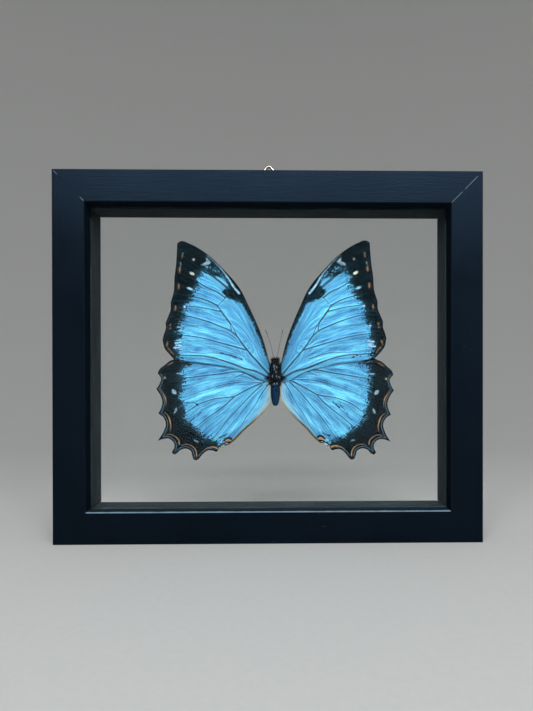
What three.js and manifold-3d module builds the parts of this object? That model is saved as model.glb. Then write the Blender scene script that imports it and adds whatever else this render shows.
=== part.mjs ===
// A large blue butterfly floating between two panes of glass, in a mitred black wooden frame.
// Millimetres, +Z up. The front faces -Y and the frame stands on the underside of its bottom rail,
// whose centre is the origin.

import * as THREE from "three";
import { mergeVertices } from "three/addons/utils/BufferGeometryUtils.js";
import Module from "manifold-3d";

// ---------- driving dimensions ----------

const FRAME_WIDTH = 190;
const FRAME_HEIGHT = 164.5;
const FRAME_DEPTH = 29;
const MEMBER_WIDTH = 14.3; // face width of a rail, outer edge to sight edge
const LIP_DEPTH = 7; // thickness of the lip in front of the glass
const REBATE_STEP = 5; // how far the glass tucks in behind the lip
const ARRIS = 0.4; // worn-off edges of the moulding

const GAP = 0.3; // glue line or loose fit between neighbouring pieces
const MITRE_GAP = GAP / 2 / Math.cos(Math.PI / 4); // taken off each end, measured along the rail

const PANE_THICKNESS = 2;
const PANE_SIDE_PLAY = 0.5;
const SPACER_DEPTH = 12.5;
const SPACER_WIDTH = 4.5;
const BEAD_WIDTH = 2.4; // retaining beads behind the back pane
const BEAD_DEPTH = 3.4;

const HANGER_X = -0.6;
const WIRE_RADIUS = 0.75;
const LOOP_TOP = 15.1; // height of the wire loop above the frame
const LOOP_BEND = 2.1; // centre-line radius of its three corners
const LOOP_POINTS = 48;
const LOOP_STEPS = 72;
const STRAP_WIDTH = 9;
const STRAP_THICKNESS = 0.8;
const STRAP_FOOT_BELOW_TOP = 8.8;
const BARREL_BELOW_TOP = 2.2; // rolled eye of the strap, below the frame's top edge
const SCREW_BELOW_TOP = 6.3;
const SCREW_SHANK_RADIUS = 1;
const SCREW_HEAD_RADIUS = 2;
const SCREW_HEAD_HEIGHT = 1.1;
const SCREW_LENGTH = 11;

const BUTTERFLY_X = 2.6; // centre of the thorax
const BUTTERFLY_Z = 75.3;
const FOREWING_DEPTH = 15.7; // depths are measured back from the face of the frame
const HINDWING_DEPTH = 16.6;
const BODY_DEPTH = 17;
const WING_THICKNESS = 0.5;
const BODY_FLATTENING = 1.35; // the body is deeper than it is wide
// The right wings aren't set quite like the left ones: turned up by so many degrees, then moved.
const MOUNTED_TRUE = { turn: 0, out: 0, up: 0 };
const RIGHT_FOREWING_SET = { turn: 1.2, out: 0, up: -0.3 };
const RIGHT_HINDWING_SET = { turn: -2.6, out: 0.6, up: 1.7 };
const ANTENNA_RADIUS = 0.2;
const ANTENNA_DEPTH = 15.2;
const ANTENNA_ROOT = [1, 7.7]; // (out from the middle, height above the thorax)
const ANTENNA_BEND = [1.4, 12];
const LEFT_ANTENNA_TIP = [4.6, 20.6];
const RIGHT_ANTENNA_TIP = [3.6, 20.8];
const ANTENNA_LEAN = 1; // the tips lean towards the front pane
const GLUE_RADIUS = 2.2;

// ---------- finishes ----------

const finish = (color, roughness, metalness = 0) =>
  new THREE.MeshStandardMaterial({ color, roughness, metalness });

const blackPaint = () => finish(0x141b22, 0.45);
const darkSpacer = () => finish(0x1c2222, 0.7);
const steelWire = () => finish(0xb9b29c, 0.35, 1);
const clearGlass = () => {
  const glass = finish(0xdfe8e4, 0.05);
  glass.transparent = true;
  glass.opacity = 0.25;
  return glass;
};
const blueWing = () => finish(0x4aa6dc, 0.4, 0.3);
const darkBody = () => finish(0x101a2c, 0.8);
const clearGlue = () => finish(0xd8d2bc, 0.3);

// ---------- shared helpers ----------

const model = new THREE.Group();
const depthToY = (depth) => depth - FRAME_DEPTH / 2;

function addPiece(name, geometry, material, parent = model) {
  const mesh = new THREE.Mesh(geometry, material);
  mesh.name = name;
  parent.add(mesh);
  return mesh;
}

function addBox(name, material, [width, depth, height], [x, y, z]) {
  addPiece(name, new THREE.BoxGeometry(width, depth, height), material).position.set(x, y, z);
}

const wasm = await Module();
wasm.setup();

function toSolid(geometry) {
  const bare = geometry.index ? geometry.toNonIndexed() : geometry.clone();
  bare.deleteAttribute("normal");
  bare.deleteAttribute("uv");
  const merged = mergeVertices(bare, 1e-5);
  return new wasm.Manifold(
    new wasm.Mesh({
      numProp: 3,
      vertProperties: new Float32Array(merged.attributes.position.array),
      triVerts: new Uint32Array(merged.index.array),
    }),
  );
}

function toGeometry(solid) {
  const mesh = solid.getMesh();
  const geometry = new THREE.BufferGeometry();
  geometry.setAttribute("position", new THREE.BufferAttribute(mesh.vertProperties, 3));
  geometry.setIndex(new THREE.BufferAttribute(mesh.triVerts, 1));
  geometry.computeVertexNormals();
  return geometry;
}

// ---------- frame: four rails of one rebated moulding, mitred at the corners ----------
// The moulding's section is drawn as (depth, distance in from the outer edge).

function mouldingSection() {
  const back = FRAME_DEPTH;
  const rebate = MEMBER_WIDTH - REBATE_STEP;
  return new THREE.Shape([
    new THREE.Vector2(0, ARRIS),
    new THREE.Vector2(ARRIS, 0),
    new THREE.Vector2(back, 0),
    new THREE.Vector2(back, rebate),
    new THREE.Vector2(LIP_DEPTH, rebate),
    new THREE.Vector2(LIP_DEPTH, MEMBER_WIDTH),
    new THREE.Vector2(ARRIS, MEMBER_WIDTH),
    new THREE.Vector2(0, MEMBER_WIDTH - ARRIS),
  ]);
}

// A rail lies along X with its outer edge at z = 0 and its sight edge up; both ends are cut at 45 degrees.
function mitredRail(length) {
  const geometry = new THREE.ExtrudeGeometry(mouldingSection(), { depth: 1, bevelEnabled: false });
  const position = geometry.attributes.position;
  for (let i = 0; i < position.count; i++) {
    const inward = position.getY(i);
    const side = position.getZ(i) > 0.5 ? 1 : -1;
    const x = side * (length / 2 - inward - MITRE_GAP);
    position.setXYZ(i, x, depthToY(position.getX(i)), inward);
  }
  return geometry;
}

function screwHole() {
  const radius = SCREW_SHANK_RADIUS + GAP;
  const hole = new THREE.CylinderGeometry(radius, radius, 2 * (SCREW_LENGTH + GAP), 16);
  hole.translate(HANGER_X, depthToY(FRAME_DEPTH), FRAME_HEIGHT - SCREW_BELOW_TOP);
  return toSolid(hole);
}

function addFrame() {
  const quarter = Math.PI / 2;
  const topRail = mitredRail(FRAME_WIDTH);
  topRail.rotateY(2 * quarter);
  topRail.translate(0, 0, FRAME_HEIGHT);
  addPiece("rail_top", toGeometry(toSolid(topRail).subtract(screwHole())), blackPaint());
  addPiece("rail_bottom", mitredRail(FRAME_WIDTH), blackPaint());
  for (const [name, side] of [["rail_left", -1], ["rail_right", 1]]) {
    const rail = addPiece(name, mitredRail(FRAME_HEIGHT), blackPaint());
    rail.rotation.y = -side * quarter;
    rail.position.set(side * FRAME_WIDTH / 2, 0, FRAME_HEIGHT / 2);
  }
}

// ---------- glazing: pane, spacer strips, pane and retaining beads, from front to back ----------

const frontPaneDepth = LIP_DEPTH + GAP;
const spacerFront = frontPaneDepth + PANE_THICKNESS + GAP;
const backPaneDepth = spacerFront + SPACER_DEPTH + GAP;
const beadFront = backPaneDepth + PANE_THICKNESS + GAP;
const rebateWidth = FRAME_WIDTH - 2 * (MEMBER_WIDTH - REBATE_STEP);
const rebateHeight = FRAME_HEIGHT - 2 * (MEMBER_WIDTH - REBATE_STEP);

function addPane(name, depth) {
  const size = [rebateWidth - 2 * PANE_SIDE_PLAY, PANE_THICKNESS, rebateHeight - 2 * PANE_SIDE_PLAY];
  addBox(name, clearGlass(), size, [0, depthToY(depth + PANE_THICKNESS / 2), FRAME_HEIGHT / 2]);
}

// Four strips that line the rebate: top and bottom run its whole width, the sides fit between them.
function addLining(prefix, material, stripWidth, front, depth, play) {
  const width = rebateWidth - 2 * play;
  const height = rebateHeight - 2 * play;
  const y = depthToY(front + depth / 2);
  for (const [end, side] of [["top", 1], ["bottom", -1]]) {
    const z = FRAME_HEIGHT / 2 + side * (height - stripWidth) / 2;
    addBox(`${prefix}_${end}`, material(), [width, depth, stripWidth], [0, y, z]);
  }
  const sideLength = height - 2 * (stripWidth + GAP);
  for (const [end, side] of [["left", -1], ["right", 1]]) {
    const x = side * (width - stripWidth) / 2;
    addBox(`${prefix}_${end}`, material(), [stripWidth, depth, sideLength], [x, y, FRAME_HEIGHT / 2]);
  }
}

function addGlazing() {
  addPane("pane_front", frontPaneDepth);
  addLining("spacer", darkSpacer, SPACER_WIDTH, spacerFront, SPACER_DEPTH, REBATE_STEP - SPACER_WIDTH);
  addPane("pane_back", backPaneDepth);
  addLining("bead", blackPaint, BEAD_WIDTH, beadFront, BEAD_DEPTH, GAP);
}

// ---------- hanger: a bent wire triangle in the rolled eye of a small strap, held by one screw ----------

const eyeRadius = WIRE_RADIUS + GAP + STRAP_THICKNESS;
const strapFront = FRAME_DEPTH + GAP;
const eyeDepth = strapFront + eyeRadius;
const eyeZ = FRAME_HEIGHT - BARREL_BELOW_TOP;

// Centre line of the loop in the XZ plane: an equilateral triangle with rounded corners, point up.
function loopCentreLine() {
  const top = FRAME_HEIGHT + LOOP_TOP - WIRE_RADIUS;
  const sharpTop = top + 0.75 * LOOP_BEND; // the bend passes this far below the sharp corner
  const halfBase = (sharpTop - eyeZ) * Math.tan(Math.PI / 6);
  const corners = [[0, sharpTop], [-halfBase, eyeZ], [halfBase, eyeZ]];
  const tangent = LOOP_BEND / Math.tan(Math.PI / 6);
  const y = depthToY(eyeDepth);
  const along = (from, to, distance) => {
    const step = distance / Math.hypot(to[0] - from[0], to[1] - from[1]);
    const x = from[0] + (to[0] - from[0]) * step;
    return new THREE.Vector3(HANGER_X + x, y, from[1] + (to[1] - from[1]) * step);
  };
  const path = new THREE.CurvePath();
  corners.forEach((corner, i) => {
    const before = corners[(i + 2) % 3];
    const after = corners[(i + 1) % 3];
    const bendStart = along(corner, before, tangent);
    const bendEnd = along(corner, after, tangent);
    const point = new THREE.Vector3(HANGER_X + corner[0], y, corner[1]);
    path.add(new THREE.QuadraticBezierCurve3(bendStart, point, bendEnd));
    path.add(new THREE.LineCurve3(bendEnd, along(after, corner, tangent)));
  });
  return path;
}

function addHangerLoop() {
  const points = loopCentreLine().getSpacedPoints(LOOP_POINTS).slice(0, LOOP_POINTS);
  const extrudePath = new THREE.CatmullRomCurve3(points, true);
  const section = new THREE.Shape().absarc(0, 0, WIRE_RADIUS, 0, 2 * Math.PI);
  const wire = new THREE.ExtrudeGeometry(section, { steps: LOOP_STEPS, curveSegments: 5, extrudePath });
  addPiece("hanger_loop", wire, steelWire());
}

// The strap is one strip of sheet: a flat foot against the wood, rolled over into an eye at the top.
function addHangerStrap() {
  const back = strapFront + STRAP_THICKNESS;
  const foot = FRAME_HEIGHT - STRAP_FOOT_BELOW_TOP;
  const meetAngle = Math.acos((back - eyeDepth) / eyeRadius);
  const side = new THREE.Shape();
  side.moveTo(depthToY(strapFront), foot);
  side.lineTo(depthToY(back), foot);
  side.lineTo(depthToY(back), eyeZ - eyeRadius * Math.sin(meetAngle));
  side.absarc(depthToY(eyeDepth), eyeZ, eyeRadius, -meetAngle, Math.PI);
  side.closePath();
  side.holes.push(new THREE.Path().absarc(depthToY(eyeDepth), eyeZ, WIRE_RADIUS + GAP, 0, 2 * Math.PI));
  const strip = { depth: STRAP_WIDTH, bevelEnabled: false, curveSegments: 20 };
  const strap = new THREE.ExtrudeGeometry(side, strip);
  const xAxis = new THREE.Vector3(1, 0, 0);
  const yAxis = new THREE.Vector3(0, 1, 0);
  const zAxis = new THREE.Vector3(0, 0, 1);
  strap.applyMatrix4(new THREE.Matrix4().makeBasis(yAxis, zAxis, xAxis));
  strap.translate(HANGER_X - STRAP_WIDTH / 2, 0, 0);
  addPiece("hanger_strap", toGeometry(toSolid(strap).subtract(screwHole())), steelWire());
}

function addHangerScrew() {
  const head = SCREW_HEAD_RADIUS;
  const shank = SCREW_SHANK_RADIUS;
  const profile = [
    [0, -SCREW_LENGTH],
    [shank, -SCREW_LENGTH + 2 * shank],
    [shank, 0],
    [head, 0],
    [head, 0.3 * SCREW_HEAD_HEIGHT],
    [0.8 * head, 0.75 * SCREW_HEAD_HEIGHT],
    [0.4 * head, SCREW_HEAD_HEIGHT],
    [0, SCREW_HEAD_HEIGHT],
  ];
  const screw = new THREE.LatheGeometry(profile.map(([r, h]) => new THREE.Vector2(r, h)), 16);
  const y = depthToY(strapFront + STRAP_THICKNESS + GAP);
  addPiece("hanger_screw", screw, steelWire()).position.set(HANGER_X, y, FRAME_HEIGHT - SCREW_BELOW_TOP);
}

// ---------- butterfly ----------
// Wing outlines are drawn for the left side as (distance out from the body, height above the thorax).

const butterfly = new THREE.Group();
butterfly.position.set(BUTTERFLY_X, 0, BUTTERFLY_Z);

const forewingOutline = [
  [3.2, 4.6], [5.5, 15.7], [12, 31.3], [16.6, 40], [23.4, 48.4], [32.7, 57], [40.5, 61.4], [44.9, 61.5],
  [45.6, 55], [45.9, 48], [46.6, 41.5], [48.1, 34.6], [48.3, 30], [50.5, 24.9], [50.5, 21.5], [52, 16.2],
  [50.6, 11.2], [46.8, 6.9],
  [38.9, 5.4], [23.5, 3.3], [11.8, -0.2], [3.4, -3.6],
];

const hindwingOutline = [
  [3, 1.6], [12, 6.2], [24, 9.4], [36, 10.4], [45, 8.2], [50.3, 4.8],
  [54.4, 0.6], [53.1, -3], [54.9, -7], [52.4, -13.4], [54, -18.6], [50.9, -23], [54.3, -31],
  [49, -30.6], [47.2, -33.6], [47.2, -37.3], [42, -35.3], [38.6, -38], [36.6, -40], [32.2, -36.4],
  [25.8, -35], [19, -31], [12, -24.2], [6, -18.2], [3, -14.2], [2.6, -9], [3, -4.4],
];

function addWing(name, outline, side, set, depth) {
  const points = outline.map(([out, up]) => new THREE.Vector2(side * out, up));
  const first = points.shift();
  const shape = new THREE.Shape().moveTo(first.x, first.y).splineThru(points);
  const slab = { depth: WING_THICKNESS, bevelEnabled: false, curveSegments: 3 };
  const wing = new THREE.ExtrudeGeometry(shape, slab);
  wing.translate(0, 0, -WING_THICKNESS / 2);
  wing.rotateX(Math.PI / 2);
  const mesh = addPiece(name, wing, blueWing(), butterfly);
  mesh.rotation.y = -side * THREE.MathUtils.degToRad(set.turn);
  mesh.position.set(side * set.out, depthToY(depth), set.up);
}

// Half-widths of the body from the tip of the abdomen to the crown of the head.
const bodyProfile = [
  [0, -15.2], [0.8, -14.5], [1.5, -12.6], [1.9, -9.6], [1.8, -6.6], [1.4, -5.2], [2.2, -3.6],
  [2.5, -0.6], [2.3, 2.6], [1.5, 4.7], [1.75, 5.9], [1.2, 7], [0, 7.4],
];

function addBody() {
  const profile = bodyProfile.map(([halfWidth, up]) => new THREE.Vector2(halfWidth, up));
  const body = new THREE.LatheGeometry(profile, 20);
  body.rotateX(Math.PI / 2);
  body.scale(1, BODY_FLATTENING, 1);
  addPiece("body", body, darkBody(), butterfly).position.y = depthToY(BODY_DEPTH);
}

function addAntenna(name, side, tip) {
  const at = ([out, up], lean) => new THREE.Vector3(side * out, depthToY(ANTENNA_DEPTH - lean), up);
  const bend = at(ANTENNA_BEND, 0);
  const path = new THREE.QuadraticBezierCurve3(at(ANTENNA_ROOT, 0), bend, at(tip, ANTENNA_LEAN));
  const section = new THREE.Shape().absarc(0, 0, ANTENNA_RADIUS, 0, 2 * Math.PI);
  const antenna = new THREE.ExtrudeGeometry(section, { steps: 16, curveSegments: 4, extrudePath: path });
  addPiece(name, antenna, darkBody(), butterfly);
}

// A dab of clear glue holds the underside of the thorax to the back pane.
function addGlue() {
  const front = BODY_DEPTH + Math.max(...bodyProfile.map(([halfWidth]) => halfWidth)) * BODY_FLATTENING + GAP;
  const thickness = backPaneDepth - GAP - front;
  const glue = new THREE.CylinderGeometry(GLUE_RADIUS, GLUE_RADIUS, thickness, 20);
  addPiece("glue_dot", glue, clearGlue(), butterfly).position.y = depthToY(front + thickness / 2);
}

function addButterfly() {
  addWing("forewing_left", forewingOutline, -1, MOUNTED_TRUE, FOREWING_DEPTH);
  addWing("forewing_right", forewingOutline, 1, RIGHT_FOREWING_SET, FOREWING_DEPTH);
  addWing("hindwing_left", hindwingOutline, -1, MOUNTED_TRUE, HINDWING_DEPTH);
  addWing("hindwing_right", hindwingOutline, 1, RIGHT_HINDWING_SET, HINDWING_DEPTH);
  addBody();
  addAntenna("antenna_left", -1, LEFT_ANTENNA_TIP);
  addAntenna("antenna_right", 1, RIGHT_ANTENNA_TIP);
  addGlue();
}

addFrame();
addGlazing();
addHangerLoop();
addHangerStrap();
addHangerScrew();
model.add(butterfly);
addButterfly();

export default model;
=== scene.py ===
import math

import bpy
import numpy as np
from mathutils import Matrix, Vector, geometry


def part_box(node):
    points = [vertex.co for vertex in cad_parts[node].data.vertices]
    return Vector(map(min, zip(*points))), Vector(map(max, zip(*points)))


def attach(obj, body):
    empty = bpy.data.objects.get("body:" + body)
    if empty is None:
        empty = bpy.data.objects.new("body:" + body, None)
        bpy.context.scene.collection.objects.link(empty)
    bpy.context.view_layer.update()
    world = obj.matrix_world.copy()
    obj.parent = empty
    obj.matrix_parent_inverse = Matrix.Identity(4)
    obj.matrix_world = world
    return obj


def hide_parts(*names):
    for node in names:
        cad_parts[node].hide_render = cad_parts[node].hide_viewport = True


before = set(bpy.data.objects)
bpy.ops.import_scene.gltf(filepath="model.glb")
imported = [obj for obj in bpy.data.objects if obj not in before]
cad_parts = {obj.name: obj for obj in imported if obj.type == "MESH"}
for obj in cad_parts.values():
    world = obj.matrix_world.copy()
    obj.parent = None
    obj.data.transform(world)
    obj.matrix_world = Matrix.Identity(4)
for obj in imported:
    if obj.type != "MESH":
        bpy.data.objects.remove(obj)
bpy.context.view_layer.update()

# ---------- black frame ----------
# Four lengths of one rebated moulding, mitred and glued at the corners, then sprayed satin black.
# The arrises are rubbed slightly round, and the filler in the top right mitre has let go of its paint.

MM = 0.001


def solid_box(name):
    """The low and high corners of a CAD solid, in millimetres."""
    return [np.array(corner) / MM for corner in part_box(name)]


frame_low, frame_high = solid_box("rail_bottom")
FRAME_WIDTH = frame_high[0] - frame_low[0]
FRAME_FACE_Y = frame_low[1]
FRAME_BACK_Y = frame_high[1]
MEMBER_WIDTH = frame_high[2]
FRAME_HEIGHT = solid_box("rail_top")[1][2]
LIP_DEPTH = 7.0
REBATE_WIDTH = 9.3
ARRIS_RADIUS = 0.45
INNER_ARRIS_RADIUS = 0.25
ARRIS_STEPS = 4
MITRE_GAP = 0.01
MITRE_EASE = 0.03
REBATE_FILLET = 0.05
RAIL_STATIONS = 40

PAINT_BLACK = (0.0004, 0.0009, 0.0016)
PAINT_WORN = (0.0008, 0.0016, 0.0029)
PAINT_SHEEN_TINT = (0.30, 0.58, 1.0)
FLAT_BLACK = (0.0035, 0.0070, 0.0110)
FLAT_WORN = (0.0060, 0.0115, 0.0180)
DUST_GREY = (0.10, 0.12, 0.13)
BARE_FILLER = (0.16, 0.19, 0.21)
BARED_LINE_X = 0.0866
BARED_LINE_HALF = 0.0058
BARED_LINE_BREAK_X = 0.0862
INNER_NICK_X = -0.0816
OUTER_NICK_X = -0.0931
MITRES_FROM_Z = 0.149
# Depth and waviness, in millimetres, of the painted highlight along the front of the lower sight edge.
PAINTED_HIGHLIGHT_DEPTH = 0.9
PAINTED_HIGHLIGHT_WAVE = 2.6
SETTLED_DUST = (0.016, 0.027, 0.037)
# The two colours of that painted highlight.
PAINTED_HIGHLIGHT_GREY = (0.13, 0.17, 0.21)
PAINTED_HIGHLIGHT_BLUE = (0.17, 0.26, 0.34)
NO_SHEEN = {"Specular IOR Level": 0.0}


class Value:
    """What one output of a shader node gives. Sums on it add Math nodes."""

    def __init__(self, finish, socket):
        self.finish = finish
        self.socket = socket

    def math(self, operation, first, second=0.0):
        return self.finish.node("ShaderNodeMath", {"operation": operation}, {0: first, 1: second})

    def __add__(self, other):
        return self.math("ADD", self, other)

    __radd__ = __add__

    def __mul__(self, other):
        return self.math("MULTIPLY", self, other)

    __rmul__ = __mul__

    def __sub__(self, other):
        return self.math("SUBTRACT", self, other)

    def __rsub__(self, other):
        return self.math("SUBTRACT", other, self)

    def __abs__(self):
        return self.math("ABSOLUTE", self)

    def ramp(self, low, high):
        """0 at low, 1 at high and smooth between; low may be the larger."""
        ends = {"Value": self, "From Min": low, "From Max": high}
        return self.finish.node("ShaderNodeMapRange", {"interpolation_type": "SMOOTHSTEP"}, ends)

    def band(self, centre, half_width, softness):
        return abs(self - centre).ramp(half_width + softness, half_width - softness)


class Finish:
    """A material as it is put together from nodes."""

    def __init__(self, name):
        self.material = bpy.data.materials.new(name)
        self.material.use_nodes = True
        self.tree = self.material.node_tree
        self.tree.nodes.clear()

    def node(self, kind, settings=None, sockets=None, out=0):
        """A new node: its settings, then what its sockets are given, a colour as three numbers."""
        new = self.tree.nodes.new(kind)
        for name, setting in (settings or {}).items():
            if name != "stops":
                setattr(new, name, setting)
                continue
            elements = new.color_ramp.elements
            for stop, (place, colour) in enumerate(setting):
                element = elements[stop] if stop < 2 else elements.new(place)
                element.position = place
                element.color = (*colour, 1)
        for name, given in (sockets or {}).items():
            socket = new.inputs[name]
            if isinstance(given, Value):
                self.tree.links.new(given.socket, socket)
            else:
                socket.default_value = (*given, 1) if socket.type == "RGBA" else given
        return Value(self, new.outputs[out]) if new.outputs else None

    def mix(self, mask, under, over):
        return self.node("ShaderNodeMix", {"data_type": "RGBA"}, {0: mask, 6: under, 7: over}, out=2)

    def colours(self, factor, stops):
        """A colour ramp through (place, colour) stops."""
        return self.node("ShaderNodeValToRGB", {"stops": stops}, {"Fac": factor}, out="Color")

    def place(self):
        """Where the point is on the object, in metres."""
        return self.node("ShaderNodeTexCoord", out="Object")

    def field(self, name):
        """A value that the mesh carries at each of its points."""
        return self.node("ShaderNodeAttribute", {"attribute_name": name}, out="Fac")

    def axis(self, name):
        return self.node("ShaderNodeSeparateXYZ", None, {0: self.place()}, out=name)

    def stretched(self, scale):
        """The place with a scale of its own along each axis."""
        return self.node("ShaderNodeVectorMath", {"operation": "MULTIPLY"}, {0: self.place(), 1: scale})

    def noise(self, scale, detail, roughness=0.5, vector=None):
        """Cloudy noise over the object, or over another vector, with about scale clouds to a metre."""
        vector = vector or self.place()
        sockets = {"Vector": vector, "Scale": scale, "Detail": detail, "Roughness": roughness}
        return self.node("ShaderNodeTexNoise", None, sockets)

    def cells(self, scale):
        """How far the point is from the middle of its cell, in cells."""
        sockets = {"Vector": self.place(), "Scale": scale}
        return self.node("ShaderNodeTexVoronoi", {"feature": "F1"}, sockets)

    def surface(self, colour, roughness, others=None, height=None, depth=0.0):
        """The finished material; a height makes it uneven by that depth in metres."""
        sockets = {"Base Color": colour, "Roughness": roughness, **(others or {})}
        if height is not None:
            sockets["Normal"] = self.node("ShaderNodeBump", None, {"Height": height, "Distance": depth})
        shader = self.node("ShaderNodeBsdfPrincipled", None, sockets)
        self.node("ShaderNodeOutputMaterial", None, {"Surface": shader})
        return self.material


def fit(piece, slot, *stands_for):
    """The piece belongs to the one body and stands for these CAD nodes, which are hidden; the slot is not
    used.
    """
    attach(piece, "root")
    if stands_for:
        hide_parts(*stands_for)


def add_mesh(name, points, faces, material, crisp=False):
    """A new piece from points in millimetres. A crisp one keeps its flat faces flat between round edges."""
    mesh = bpy.data.meshes.new(name)
    mesh.from_pydata((np.asarray(points, float) * MM).tolist(), [], faces)
    mesh.materials.append(material)
    mesh.polygons.foreach_set("use_smooth", [True] * len(mesh.polygons))
    mesh.update()
    piece = bpy.data.objects.new(name, mesh)
    bpy.context.scene.collection.objects.link(piece)
    if crisp:
        mesh.set_sharp_from_angle(angle=math.radians(40))
        piece.modifiers.new("flat faces", "WEIGHTED_NORMAL").keep_sharp = True
    return piece


def black_paint(name, grain):
    """Satin black over closed-grain wood. The grain is stretched along the rail."""
    paint = Finish(name)
    wood = paint.noise(1.0, detail=3.0, vector=paint.stretched(grain))
    orange_peel = paint.noise(900.0, detail=1.0)
    haze = paint.noise(38.0, detail=3.0)
    dusty = paint.noise(60.0, detail=0.0).ramp(0.55, 0.75)
    dust = paint.cells(210.0).ramp(0.085, 0.04) * dusty
    x, y, z = (paint.axis(name) for name in "XYZ")
    # The mitre runs at 45 degrees from the sight edge to the outer corner.
    below_top = FRAME_HEIGHT * MM - z
    right_mitre = abs((FRAME_WIDTH / 2 * MM - x) - below_top).ramp(0.00024, 0.00008)
    right_mitre = right_mitre * x.band(BARED_LINE_X, BARED_LINE_HALF, 0.0003)
    right_mitre = right_mitre * (1 - x.band(BARED_LINE_BREAK_X, 0.0006, 0.0003))
    nicks = x.band(INNER_NICK_X, 0.0008, 0.0003) + x.band(OUTER_NICK_X, 0.0008, 0.0004) * 0.6
    left_mitre = abs((FRAME_WIDTH / 2 * MM + x) - below_top).ramp(0.00030, 0.00012) * nicks
    on_top_corners = z.ramp(MITRES_FROM_Z, MITRES_FROM_Z + 0.001) * y.ramp(0.0, FRAME_FACE_Y / 2 * MM)
    bared = (right_mitre + left_mitre) * on_top_corners
    colour = paint.mix(haze.ramp(0.3, 0.8), PAINT_BLACK, PAINT_WORN)
    colour = paint.mix(dust * 0.4, colour, DUST_GREY)
    colour = paint.mix(bared, colour, BARE_FILLER)
    roughness = 0.20 + 0.28 * haze + 0.05 * orange_peel + 0.2 * dust
    sheen = {"Specular IOR Level": 0.185, "Specular Tint": PAINT_SHEEN_TINT}
    return paint.surface(colour, roughness, sheen, height=wood * 0.7 + orange_peel * 0.3, depth=0.00006)


def first_coat():
    """Dead flat black, with a painted highlight in pale blue-grey along the front of the lower sight edge,
    and dusty behind that.
    """
    coat = Finish("flat_black_first_coat")
    x, y, z = (coat.axis(name) for name in "XYZ")
    wavy = coat.noise(1.0, detail=4.0, roughness=0.7, vector=coat.stretched((110.0, 0.0, 0.0)))
    grit = coat.noise(1800.0, detail=2.0)
    half_sight = FRAME_WIDTH / 2 - MEMBER_WIDTH
    lower_edge = z.ramp(FRAME_HEIGHT / 2 * MM, FRAME_HEIGHT / 3 * MM)
    lower_edge = lower_edge * abs(x).ramp((half_sight - 0.1) * MM, (half_sight - 0.4) * MM)
    # A painted highlight: a pale, wavy line along the front of the lower sight edge, the light that
    # upward-facing edge catches from above.
    painted_highlight_depth = (FRAME_FACE_Y + PAINTED_HIGHLIGHT_DEPTH - PAINTED_HIGHLIGHT_WAVE / 2 + PAINTED_HIGHLIGHT_WAVE * wavy) * MM
    painted_highlight = (painted_highlight_depth - y).ramp(-0.0002, 0.0003) * lower_edge
    settled = (y - painted_highlight_depth).ramp(0.0012, 0.0020) * y.ramp(0.0, -0.001) * lower_edge
    black = coat.mix(grit.ramp(0.3, 0.7), FLAT_BLACK, FLAT_WORN)
    black = coat.mix(settled * (0.7 + 0.3 * grit), black, SETTLED_DUST)
    # The pale blue-grey here is the colour of the painted highlight.
    pale = coat.mix(wavy.ramp(0.3, 0.6), PAINTED_HIGHLIGHT_GREY, PAINTED_HIGHLIGHT_BLUE)
    colour = coat.mix(painted_highlight * (0.75 + 0.25 * grit), black, pale)
    return coat.surface(colour, 0.85 + 0.1 * grit, NO_SHEEN, height=grit, depth=0.00003)


def rounded(corners, steps=ARRIS_STEPS):
    """Closed outline from (across, up, radius) corners, each turned by a quarter arc."""
    outline = []
    spots = [Vector(corner[:2]) for corner in corners]
    for i, (_, _, radius) in enumerate(corners):
        here = spots[i]
        before = (spots[i - 1] - here).normalized()
        after = (spots[(i + 1) % len(spots)] - here).normalized()
        centre = here + radius * (before + after)
        for step in range(steps + 1):
            turn = math.pi / 2 * step / steps
            outline.append(centre - radius * (after * math.cos(turn) + before * math.sin(turn)))
    return np.array(outline)


def ring_faces(rings, sides):
    """Faces of a skin over rings of points, with a cap at each end."""
    faces = [list(range(sides))[::-1], list(range((rings - 1) * sides, rings * sides))]
    for first in range(0, (rings - 1) * sides, sides):
        for i in range(sides):
            j = (i + 1) % sides
            faces.append([first + i, first + j, first + sides + j, first + sides + i])
    return faces


def rail(name, length, place, material):
    """A length of moulding with its outer edge at height 0 and both ends cut to 45 degrees."""
    back, wood, lip = FRAME_BACK_Y, MEMBER_WIDTH, FRAME_FACE_Y + LIP_DEPTH
    section = rounded([
        (FRAME_FACE_Y, 0, ARRIS_RADIUS),
        (back, 0, INNER_ARRIS_RADIUS),
        (back, REBATE_WIDTH, INNER_ARRIS_RADIUS),
        (lip, REBATE_WIDTH, -REBATE_FILLET),
        (lip, wood, INNER_ARRIS_RADIUS),
        (FRAME_FACE_Y, wood, ARRIS_RADIUS),
    ])
    count = len(section)
    ease = 2 * MITRE_EASE / length
    stations = np.concatenate([[-1], np.linspace(-1 + ease, 1 - ease, RAIL_STATIONS), [1]])
    rings = []
    for share in stations:
        ring = section + (MITRE_EASE * np.sign(section.mean(axis=0) - section) if abs(share) == 1 else 0)
        rings.append(np.column_stack([share * (length / 2 - section[:, 1] - MITRE_GAP), ring]))
    faces = ring_faces(len(rings), count)
    piece = add_mesh(name, place(np.concatenate(rings)), faces, material, crisp=True)
    # The sight edge, from its back arris to the front face, kept its first coat; on the bottom rail that coat
    # carries a painted highlight.
    piece.data.materials.append(flat_black)
    sight_edge = range(4 * (ARRIS_STEPS + 1), 6 * (ARRIS_STEPS + 1) - 1)
    for polygon in piece.data.polygons[2:]:
        polygon.material_index = int((polygon.index - 2) % count in sight_edge)
    fit(piece, "black_paint", name)


flat_black = first_coat()
paint_level = black_paint("satin_black_level", (90.0, 1500.0, 1500.0))
paint_upright = black_paint("satin_black_upright", (1500.0, 1500.0, 90.0))


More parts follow.
